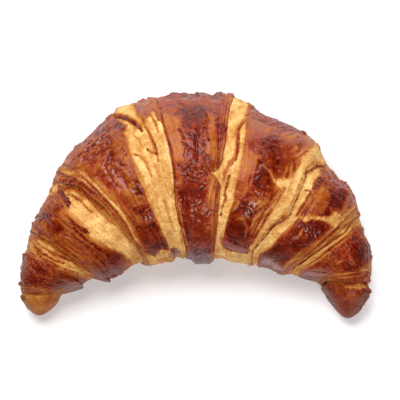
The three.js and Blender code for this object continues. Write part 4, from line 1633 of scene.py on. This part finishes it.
MIDDLE_TURN = Turn(
    "middle_turn", 4, 5, End.FREE, End.FREE, redness=0.6, seed=15, puff=0.3, bow=-1.9, tail=1.5,
    left_ledges=(
        Ledge(((0, 4.07), (54, 4.1), (85, 4.125), (104, 4.1), (130, 4.055), (160, 4.11), (270, 4.05)), 0.5),
    ),
    right_ledges=(
        Ledge(((0, 4.82), (54, 4.83), (85, 4.845), (97, 4.71), (104, 4.85), (130, 4.87), (160, 4.88),
            (270, 4.89)), 0.4),
        Ledge(((0, 4.87), (54, 4.87), (85, 4.875), (97, 4.735), (104, 4.885), (130, 4.915), (160, 4.935),
            (270, 4.94)), 0.4),
    ),
    bands=(
        *bands((54, 85, 130, 270),
               (BrowningAndShade.AMBER, 4.05, 4.09, 4.02, 4.0)),
        *bands((30, 60, 85, 104, 130, 160, 270),
               (BrowningAndShade.RUSSET, 4.1, 4.11, 4.12, 4.09, 4.045, 4.08, 4.06),
               (BrowningAndShade.MAHOGANY, 4.2, 4.2, 4.18, 4.12, 4.07, 4.11, 4.2),
               (BrowningAndShade.MAHOGANY, 4.76, 4.76, 4.76, 4.66, 4.78, 4.86, 4.8),
               (BrowningAndShade.RUSSET, 4.84, 4.84, 4.84, 4.74, 4.84, 4.9, 4.88)),
        *bands((54, 85, 104, 130, 270),
               (BrowningAndShade.AMBER, 4.91, 4.9, 4.9, 4.94, 4.98)),
    ),
    patches=(
        Patch(((4.1, 40), (4.4, 36), (4.8, 38), (4.78, 54), (4.56, 51), (4.32, 52), (4.16, 58)),
            BrowningAndShade.RUSSET, 2.4, 0.0, 0.8),
        Patch(((4.34, 50), (4.56, 50), (4.63, 66), (4.58, 82), (4.42, 82), (4.36, 66)), BrowningAndShade.UMBER, 2.2,
            0.0, 0.8, gloss=-0.1, calm=0.3),
        Patch(((4.1, 56), (4.22, 57), (4.34, 63), (4.34, 76), (4.3, 92), (4.14, 94), (4.1, 80), (4.08, 69)),
            BrowningAndShade.AMBER, 2.4, 0.3, 0.95, 2.4, gloss=0.3, calm=0.85),
        Patch(((4.13, 92), (4.22, 92), (4.24, 104), (4.14, 108), (4.1, 98)), BrowningAndShade.RUSSET, 1.2),
        Patch(((4.63, 58), (4.76, 60), (4.81, 74), (4.83, 86), (4.77, 91), (4.64, 87), (4.59, 79),
            (4.65, 72)), BrowningAndShade.AMBER, 2.4, 0.3, 0.8, 2.4, gloss=0.3, calm=0.85),
        Patch(((4.36, 84), (4.52, 78), (4.6, 88), (4.58, 100), (4.4, 98)), BrowningAndShade.MAHOGANY, 2.0, 0.0, 0.8),
        Patch(((4.2, 60), (4.7, 58), (4.66, 112), (4.2, 112)), BrowningAndShade.MAHOGANY, 3.0, 0.0, 0.0, calm=0.7),
        Patch(((4.88, 94), (4.96, 92), (4.9, 99), (4.76, 99), (4.71, 97)), BrowningAndShade.CREAM, 0.7, -0.8),
        Patch(((4.71, 99), (4.88, 98), (4.91, 107), (4.9, 114), (4.71, 115), (4.66, 108)), BrowningAndShade.AMBER, 1.0,
            0.3, gloss=0.2),
        Patch(((4.66, 115), (4.86, 114), (4.89, 122), (4.72, 121)), BrowningAndShade.AMBER, 0.8, 0.2),
        Patch(((4.18, 106), (4.54, 102), (4.68, 114), (4.8, 126), (4.6, 134), (4.3, 132), (4.13, 120)),
            BrowningAndShade.UMBER, 2.6, 0.0, 0.8, calm=0.65),
        Patch(((4.14, 132), (4.5, 136), (4.8, 132), (4.88, 156), (4.19, 156)), BrowningAndShade.MAHOGANY, 2.6,
            calm=0.3),
        Patch(((4.22, 160), (4.62, 156), (4.95, 160), (5.0, 190), (4.4, 190), (4.2, 176)), BrowningAndShade.BLACKENED,
            1.2, gloss=0.15),
        leaf(4.27, 16, 0.05, 0.6), leaf(4.39, 18, 0.03, 0.4), leaf(4.53, 20, 0.02, 0.8),
        leaf(4.76, 18, 0.05, 0.5), leaf(4.91, 20, 0.04, 0.7),
    ),
    strokes=(
        Stroke(((4.07, 58), (4.09, 70), (4.12, 85), (4.1, 100)), BrowningAndShade.CHESTNUT, 0.6, 0.4),
        Stroke(((4.06, 104), (4.04, 116), (4.04, 129), (4.06, 144), (4.1, 163)), BrowningAndShade.AMBER, 0.6, 0.3),
        Stroke(((4.09, 116), (4.08, 137), (4.1, 150), (4.14, 163)), BrowningAndShade.GOLD, 0.5, -0.3),
        Stroke(((4.54, 98), (4.6, 98), (4.67, 99)), BrowningAndShade.UMBER, 0.9, 0.5),
        Stroke(((4.8, 53), (4.81, 72), (4.84, 85), (4.87, 94)), BrowningAndShade.CHESTNUT, 0.6, 0.4),
        Stroke(((4.89, 100), (4.89, 112), (4.9, 127), (4.95, 142), (4.96, 162)), BrowningAndShade.CHESTNUT, 0.5, 0.4),
        Stroke(((4.86, 116), (4.87, 130), (4.91, 144), (4.92, 160)), BrowningAndShade.AMBER, 0.5, -0.2),
        Stroke(((4.49, 77), (4.5, 85), (4.5, 91)), BrowningAndShade.UMBER, 0.7, 0.5),
        Stroke(((4.29, 81), (4.38, 85), (4.46, 88), (4.5, 91)), BrowningAndShade.UMBER, 0.5, 0.6),
        Stroke(((4.27, 72), (4.33, 79)), BrowningAndShade.BLACKENED, 0.6, 0.6),
        Stroke(((4.52, 67), (4.54, 78)), BrowningAndShade.BLACKENED, 0.6, 0.4),
        Stroke(((4.3, 44), (4.42, 52), (4.47, 60)), BrowningAndShade.UMBER, 0.6, 0.6, 1.0, 0.8),
        Stroke(((4.6, 56), (4.66, 64), (4.62, 72), (4.68, 80)), BrowningAndShade.UMBER, 0.6, 0.6, 1.0, 0.8),
    ),
)
FIRST_RIGHT_TURN = Turn(
    "first_right_turn", 5, 6, End.COVERED, End.FREE, redness=0.45, seed=16, puff=1.1, step=0.6, bow=-3.2,
    bands=(
        *bands((0,), (BrowningAndShade.CREAM, 4.9)),
        *bands((30, 48, 64, 81, 98, 113, 135, 270),
               (BrowningAndShade.CREAM, 5.1, 5.1, 5.14, 5.17, 5.19, 5.18, 5.15, 5.15),
               (BrowningAndShade.RUSSET, 5.13, 5.12, 5.17, 5.19, 5.21, 5.2, 5.17, 5.18)),
        *bands((30, 64, 81, 98, 113, 135, 270),
               (BrowningAndShade.CHESTNUT, 5.2, 5.26, 5.28, 5.26, 5.22, 5.18, 5.2)),
        *bands((30, 81, 135, 270),
               (BrowningAndShade.MAHOGANY, 5.4, 5.4, 5.28, 5.4)),
        *bands((30, 60, 81, 104, 125, 150, 270),
               (BrowningAndShade.MAHOGANY, 5.68, 5.66, 5.64, 5.6, 5.6, 5.64, 5.7)),
        *bands((30, 60, 75, 89, 107, 125, 147, 270),
               (BrowningAndShade.RUSSET, 5.8, 5.79, 5.79, 5.72, 5.68, 5.67, 5.68, 5.8)),
        *bands((30, 59, 73, 81, 89, 97, 107, 118, 131, 147, 270),
               (BrowningAndShade.AMBER, 5.88, 5.855, 5.85, 5.84, 5.81, 5.78, 5.76, 5.75, 5.72, 5.72, 5.86),
               (BrowningAndShade.STRAW, 5.91, 5.885, 5.88, 5.87, 5.85, 5.83, 5.81, 5.8, 5.77, 5.77, 5.9)),
        *bands((0,), (BrowningAndShade.CREAM, 5.96), (BrowningAndShade.CREAM, 6.2)),
    ),
    patches=(
        Patch(((5.15, 48), (5.36, 49), (5.56, 41), (5.75, 30), (5.84, 17), (5.7, 50), (5.43, 58),
            (5.2, 62)), BrowningAndShade.AMBER, 2.4, 0.0, 0.8, gloss=0.35),
        Patch(((5.16, 50), (5.4, 50), (5.42, 75), (5.36, 92), (5.32, 108), (5.2, 108)), BrowningAndShade.RUSSET, 1.8,
            0.0, 0.7, gloss=0.2, calm=0.8),
        Patch(((5.36, 68), (5.5, 58), (5.58, 72), (5.64, 85), (5.5, 79)), BrowningAndShade.UMBER, 2.0, 0.0, 0.8,
            gloss=-0.1, calm=0.5),
        Patch(((5.56, 44), (5.72, 42), (5.76, 62), (5.7, 78), (5.58, 68)), BrowningAndShade.AMBER, 1.8, 0.0, 0.35,
            calm=0.6),
        Patch(((5.71, 60), (5.78, 48), (5.87, 43), (5.86, 63), (5.83, 76), (5.75, 79)), BrowningAndShade.AMBER, 1.2,
            0.0, 0.9),
        Patch(((5.46, 86), (5.55, 84), (5.63, 88), (5.56, 97), (5.44, 104), (5.33, 102), (5.38, 93)),
            BrowningAndShade.UMBER, 1.6, calm=0.6),
        Patch(((5.47, 88), (5.54, 86), (5.62, 89), (5.55, 92)), BrowningAndShade.BLACKENED, 0.9, 0.0, 0.7),
        Patch(((5.2, 78), (5.38, 82), (5.44, 98), (5.34, 108), (5.22, 98)), BrowningAndShade.AMBER, 1.6, 0.0, 0.8),
        Patch(((5.6, 86), (5.69, 88), (5.76, 84), (5.87, 80), (5.87, 90), (5.77, 90), (5.66, 89)),
            BrowningAndShade.CREAM, 0.8, -0.3),
        Patch(((5.44, 96), (5.6, 94), (5.64, 104), (5.54, 112), (5.44, 106)), BrowningAndShade.CHESTNUT, 1.6, 0.0, 0.8,
            gloss=0.4),
        Patch(((5.23, 119), (5.39, 109), (5.54, 112), (5.56, 124), (5.64, 140), (5.24, 141)), BrowningAndShade.UMBER,
            1.8, calm=0.5),
        Patch(((5.56, 104), (5.7, 102), (5.71, 117), (5.69, 135), (5.62, 129), (5.6, 117)), BrowningAndShade.AMBER, 1.2,
            0.0, 0.8),
        Patch(((5.12, 146), (5.35, 146), (5.76, 151), (5.59, 157), (5.16, 153)), BrowningAndShade.CHESTNUT, 1.0, 0.2,
            gloss=0.8, calm=0.6),
        Patch(((5.05, 156), (5.2, 157), (5.6, 159), (5.84, 157), (5.86, 190), (5.8, 234), (5.0, 236)),
            BrowningAndShade.CREAM, 0.8),
        leaf(5.15, 20, 0.05, 0.6), leaf(5.42, 16, 0.04, 0.4), leaf(5.74, 18, 0.04, 0.7),
        leaf(5.94, 18, 0.04, 0.8),
    ),
    strokes=(
        Stroke(((5.12, 50), (5.07, 61), (5.04, 66), (5.06, 73), (5.09, 81), (5.08, 86), (5.02, 90),
            (4.99, 94), (4.97, 100)), BrowningAndShade.AMBER, 0.9, -0.7, 1.0, 0.4),
        Stroke(((5.14, 52), (5.09, 61), (5.07, 66), (5.09, 73), (5.115, 81), (5.105, 87), (5.05, 91)),
            BrowningAndShade.CHESTNUT, 0.45, 0.5, 1.0, 0.4),
        Stroke(((5.06, 96), (5.04, 103), (5.03, 108), (5.06, 112), (5.03, 118), (5.02, 126)), BrowningAndShade.CHESTNUT,
            0.45, 0.9, 1.0, 0.9),
        Stroke(((5.46, 84), (5.53, 85), (5.61, 86), (5.65, 89)), BrowningAndShade.AMBER, 0.6, -0.3),
        Stroke(((5.3, 111), (5.24, 116), (5.19, 121)), BrowningAndShade.AMBER, 0.7, -0.3),
        Stroke(((5.32, 124), (5.45, 121), (5.56, 127), (5.58, 136)), BrowningAndShade.RUSSET, 0.8, -0.4),
        Stroke(((5.86, 88), (5.84, 99), (5.82, 110), (5.79, 122), (5.76, 135)), BrowningAndShade.AMBER, 0.5, 0.3),
        Stroke(((6.1, 40), (6.02, 52), (5.97, 64), (6.0, 78), (6.06, 96), (6.08, 104), (5.98, 113),
            (5.9, 124), (5.86, 136), (5.8, 148)), BrowningAndShade.AMBER, 0.6, 0.0, 0.6, 1.2),
        Stroke(((5.77, 92), (5.75, 101), (5.72, 112), (5.71, 123), (5.7, 136)), BrowningAndShade.CHESTNUT, 0.5, 0.4),
        Stroke(((5.81, 104), (5.79, 116), (5.76, 128), (5.74, 142)), BrowningAndShade.CHESTNUT, 0.4, 0.4),
    ),
)
SECOND_RIGHT_TURN = Turn(
    "second_right_turn", 6, 7, End.COVERED, End.FREE, redness=0.35, shine=0.8, seed=17, step=0.5, bow=-1.2,
    right_ledges=(
        Ledge(((0, 6.84), (52, 6.88), (84, 6.96), (105, 7.0), (130, 6.97), (150, 6.88), (270, 6.88)), 0.5),
    ),
    bands=(
        *bands((0,), (BrowningAndShade.CREAM, 5.7)),
        *bands((30, 46, 56, 65, 75, 87, 97, 104, 116, 129, 143, 155, 270),
               (BrowningAndShade.CREAM, 6.12, 6.12, 6.15, 6.13, 6.19, 6.22, 6.27, 6.25, 6.2, 6.16, 6.08, 5.98, 6.2),
               (BrowningAndShade.AMBER, 6.16, 6.16, 6.19, 6.18, 6.24, 6.27, 6.32, 6.29, 6.24, 6.2, 6.12, 6.02, 6.25)),
        *bands((45, 75, 97, 115, 136, 155, 270),
               (BrowningAndShade.CHESTNUT, 6.26, 6.33, 6.38, 6.32, 6.24, 6.1, 6.3)),
        *bands((45, 75, 115, 155, 270),
               (BrowningAndShade.MAHOGANY, 6.5, 6.5, 6.42, 6.2, 6.5)),
        *bands((45, 75, 90, 108, 121, 146, 270),
               (BrowningAndShade.MAHOGANY, 6.72, 6.72, 6.84, 6.86, 6.78, 6.72, 6.75)),
        *bands((45, 75, 93, 108, 121, 146, 270),
               (BrowningAndShade.AMBER, 6.82, 6.84, 6.92, 6.92, 6.86, 6.8, 6.85)),
        *bands((0,), (BrowningAndShade.GOLD, 7.0)),
    ),
    patches=(
        Patch(((6.12, 47), (6.33, 38), (6.58, 12), (6.67, 32), (6.48, 49), (6.29, 54)), BrowningAndShade.CHESTNUT, 1.4,
            0.0, 0.9, gloss=0.5),
        Patch(((6.25, 52), (6.18, 58), (6.18, 68), (6.22, 76), (6.27, 70), (6.27, 60)), BrowningAndShade.UMBER, 0.7,
            gloss=0.3),
        Patch(((6.26, 66), (6.4, 60), (6.54, 68), (6.62, 80), (6.44, 94), (6.3, 84)), BrowningAndShade.AMBER, 1.6, 0.0,
            0.6, 2.0, calm=0.35),
        Patch(((6.4, 61), (6.53, 47), (6.68, 46), (6.77, 61), (6.6, 70)), BrowningAndShade.UMBER, 1.2),
        Patch(((6.66, 30), (6.8, 28), (6.84, 48), (6.76, 58), (6.68, 44)), BrowningAndShade.RUSSET, 1.2),
        Patch(((6.31, 97), (6.47, 90), (6.62, 86), (6.7, 78), (6.72, 70), (6.85, 64), (6.87, 50),
            (6.84, 34), (6.98, 30), (7.1, 57), (7.0, 78), (6.87, 81), (6.69, 87), (6.54, 92), (6.51, 99)),
            BrowningAndShade.STRAW, 0.9, 0.2),
        Patch(((6.39, 101), (6.54, 93), (6.68, 88), (6.85, 84), (6.92, 93), (6.89, 108), (6.78, 121),
            (6.7, 146), (6.3, 158), (6.02, 156), (6.17, 141), (6.37, 129), (6.41, 113)), BrowningAndShade.UMBER, 1.2,
            calm=0.4),
        Patch(((6.48, 101), (6.54, 100), (6.57, 108), (6.53, 112)), BrowningAndShade.GOLD, 0.6),
        Patch(((6.5, 96), (6.7, 90), (6.78, 98), (6.7, 106), (6.56, 104)), BrowningAndShade.MAHOGANY, 1.6, 0.0, 0.8,
            gloss=0.3),
        Patch(((6.86, 86), (6.93, 94), (6.95, 113), (6.9, 130), (6.86, 121), (6.88, 104)), BrowningAndShade.RUSSET, 1.0,
            0.0, 0.8),
        Patch(((6.06, 153), (6.5, 158), (6.9, 164), (6.6, 178), (6.15, 170)), BrowningAndShade.CHESTNUT, 1.2, gloss=0.8,
            calm=0.6),
        leaf(6.1, 18, 0.04, 0.6), leaf(6.46, 14, 0.05, 0.5), leaf(6.72, 16, 0.04, 0.5),
        leaf(6.97, 18, 0.04, 0.7),
    ),
    strokes=(
        Stroke(((6.15, 38), (6.09, 44), (6.06, 53), (6.04, 60), (6.0, 64), (6.0, 69), (6.03, 74),
            (6.04, 79), (6.05, 86), (6.07, 89), (6.1, 92), (6.12, 99), (6.13, 103), (6.07, 109),
            (5.97, 116), (5.93, 122), (5.91, 130), (5.86, 140), (5.81, 151)), BrowningAndShade.GOLD, 0.9, -0.5, 0.7,
            1.0),
        # A dark line along the crack under the first right turn's lip: partly the crack's own brown, partly
        # painted shadow of the lip.
        Stroke(((6.15, 38), (6.08, 46), (6.04, 60), (6.0, 66), (6.04, 79), (6.08, 90), (6.12, 101),
            (6.05, 110), (5.94, 121), (5.9, 132), (5.83, 148)), BrowningAndShade.CHESTNUT, 0.6, 0.35, 0.9, 1.2),
        Stroke(((6.22, 75), (6.23, 83), (6.25, 90), (6.25, 98)), BrowningAndShade.CHESTNUT, 0.8, 0.3, 1.0, 0.8),
        Stroke(((6.27, 70), (6.3, 80), (6.31, 90)), BrowningAndShade.GOLD, 0.5, -0.2, 0.8),
        Stroke(((6.12, 79), (6.2, 76)), BrowningAndShade.CHESTNUT, 0.4, 0.4),
        Stroke(((7.0, 62), (6.98, 78), (6.99, 93), (7.01, 110), (6.98, 128)), BrowningAndShade.RUSSET, 0.5, 0.4),
    ),
)
THIRD_RIGHT_TURN = Turn(
    "third_right_turn", 7, 8, End.COVERED, End.FREE, redness=0.3, shine=0.55, seed=18, puff=0.9, step=0.5,
    bow=0.6, facets=104, rows=17,
    right_ledges=(
        Ledge(((20, 7.86), (58, 7.86), (97, 7.93), (115, 7.92), (155, 7.8), (270, 7.88)), 0.4),
        Ledge(((20, 7.93), (58, 7.97), (97, 8.01), (115, 7.99), (155, 7.86), (270, 7.94)), 0.5),
    ),
    bands=(
        *bands((0,), (BrowningAndShade.GOLD, 6.95), (BrowningAndShade.STRAW, 7.08)),
        *bands((39, 51, 66, 84, 97, 119, 145, 270),
               (BrowningAndShade.GOLD, 7.1, 7.14, 7.18, 7.22, 7.25, 7.3, 7.28, 7.25),
               (BrowningAndShade.CHESTNUT, 7.15, 7.19, 7.24, 7.29, 7.32, 7.36, 7.34, 7.3)),
        *bands((0,), (BrowningAndShade.MAHOGANY, 7.42)),
        *bands((20, 43, 70, 97, 115, 155, 270),
               (BrowningAndShade.MAHOGANY, 7.62, 7.7, 7.8, 7.84, 7.82, 7.72, 7.75),
               (BrowningAndShade.AMBER, 7.7, 7.78, 7.86, 7.9, 7.88, 7.78, 7.8)),
        *bands((0,), (BrowningAndShade.GOLD, 8.0), (BrowningAndShade.CHESTNUT, 8.06)),
    ),
    patches=(
        Patch(((7.3, 70), (7.34, 40), (7.52, 10), (7.7, 43), (7.76, 66), (7.6, 74)), BrowningAndShade.BLACKENED, 1.8,
            0.0, 0.8, calm=0.45),
        Patch(((7.3, 74), (7.6, 76), (7.8, 81), (7.78, 104), (7.6, 113), (7.4, 100)), BrowningAndShade.MAHOGANY, 1.8,
            calm=0.6),
        Patch(((7.66, 18), (7.86, 30), (7.94, 60), (7.84, 58)), BrowningAndShade.GOLD, 1.0),
        Patch(((7.36, 146), (7.48, 128), (7.65, 112), (7.86, 114), (7.82, 146), (7.56, 166), (7.3, 160)),
            BrowningAndShade.CHESTNUT, 1.6, 0.0, 0.9, gloss=0.8, calm=0.5),
        leaf(7.18, 14, 0.05, 0.5), leaf(7.62, 12, 0.04, 0.5), leaf(8.0, 14, 0.04, 1.0),
    ),
    strokes=(
        Stroke(((7.03, 51), (7.1, 66), (7.1, 84), (7.1, 98), (7.09, 116), (7.07, 138), (7.02, 160)),
            BrowningAndShade.CHESTNUT, 0.5, 0.6),
        Stroke(((7.13, 51), (7.18, 66), (7.2, 82), (7.22, 97), (7.26, 119), (7.24, 142)), BrowningAndShade.RUSSET, 0.5,
            0.5),
        Stroke(((7.16, 78), (7.17, 97), (7.2, 114)), BrowningAndShade.CREAM, 0.5, -0.3),
        Stroke(((7.49, 144), (7.6, 136), (7.72, 128)), BrowningAndShade.BLACKENED, 0.8, 0.6),
        Stroke(((7.91, 12), (7.93, 48), (7.99, 62)), BrowningAndShade.CHESTNUT, 0.6, 0.6),
    ),
)
RIGHT_HORN = Turn(
    "right_horn", 8, 9, End.COVERED, End.TIP, redness=0.05, shine=0.45, seed=19, puff=0.5, step=0.8,
    facets=88, rows=16,
    bands=(
        *bands((0,), (BrowningAndShade.CHESTNUT, 8.0), (BrowningAndShade.MAHOGANY, 8.3), (BrowningAndShade.MAHOGANY, 8.7), (BrowningAndShade.UMBER, 9.0)),
    ),
    patches=(
        Patch(((8.11, 118), (8.18, 100), (8.15, 86), (8.09, 53), (8.12, 30), (8.22, 32), (8.28, 67),
            (8.28, 90), (8.23, 101)), BrowningAndShade.GOLD, 0.8),
        Patch(((8.3, 40), (8.9, 40), (8.9, 150), (8.3, 160)), BrowningAndShade.CHESTNUT, 2.0, 0.0, 0.4, calm=0.7),
        Patch(((8.4, 60), (8.6, 62), (8.6, 110), (8.42, 112)), BrowningAndShade.RUSSET, 2.0, 0.0, 0.7, gloss=0.4),
        leaf(8.22, 14, 0.05, 0.8),
    ),
    strokes=(
        Stroke(((8.49, 92), (8.52, 98), (8.55, 103)), BrowningAndShade.RUSSET, 1.2, -0.4),
    ),
)

TURNS = (
    LEFT_HORN, THIRD_LEFT_TURN, SECOND_LEFT_TURN, FIRST_LEFT_TURN, MIDDLE_TURN, FIRST_RIGHT_TURN,
    SECOND_RIGHT_TURN, THIRD_RIGHT_TURN, RIGHT_HORN,
)


def main() -> None:
    """Builds the croissant turn by turn, then the table, the light and the camera."""
    logging.basicConfig(level=logging.INFO, format="%(message)s")
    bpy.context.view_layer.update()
    crust = Crust().material()
    pieces = [turn.build() for turn in TURNS]
    for piece in pieces:
        piece.data.materials.append(crust)
        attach(piece, BODY)
        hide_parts(NODE)
        LOG.info("%s: %d faces", piece.name, len(piece.data.polygons))
    studio = Studio()
    studio.table()
    studio.lights()
    studio.camera()


if __name__ == "__main__":
    main()
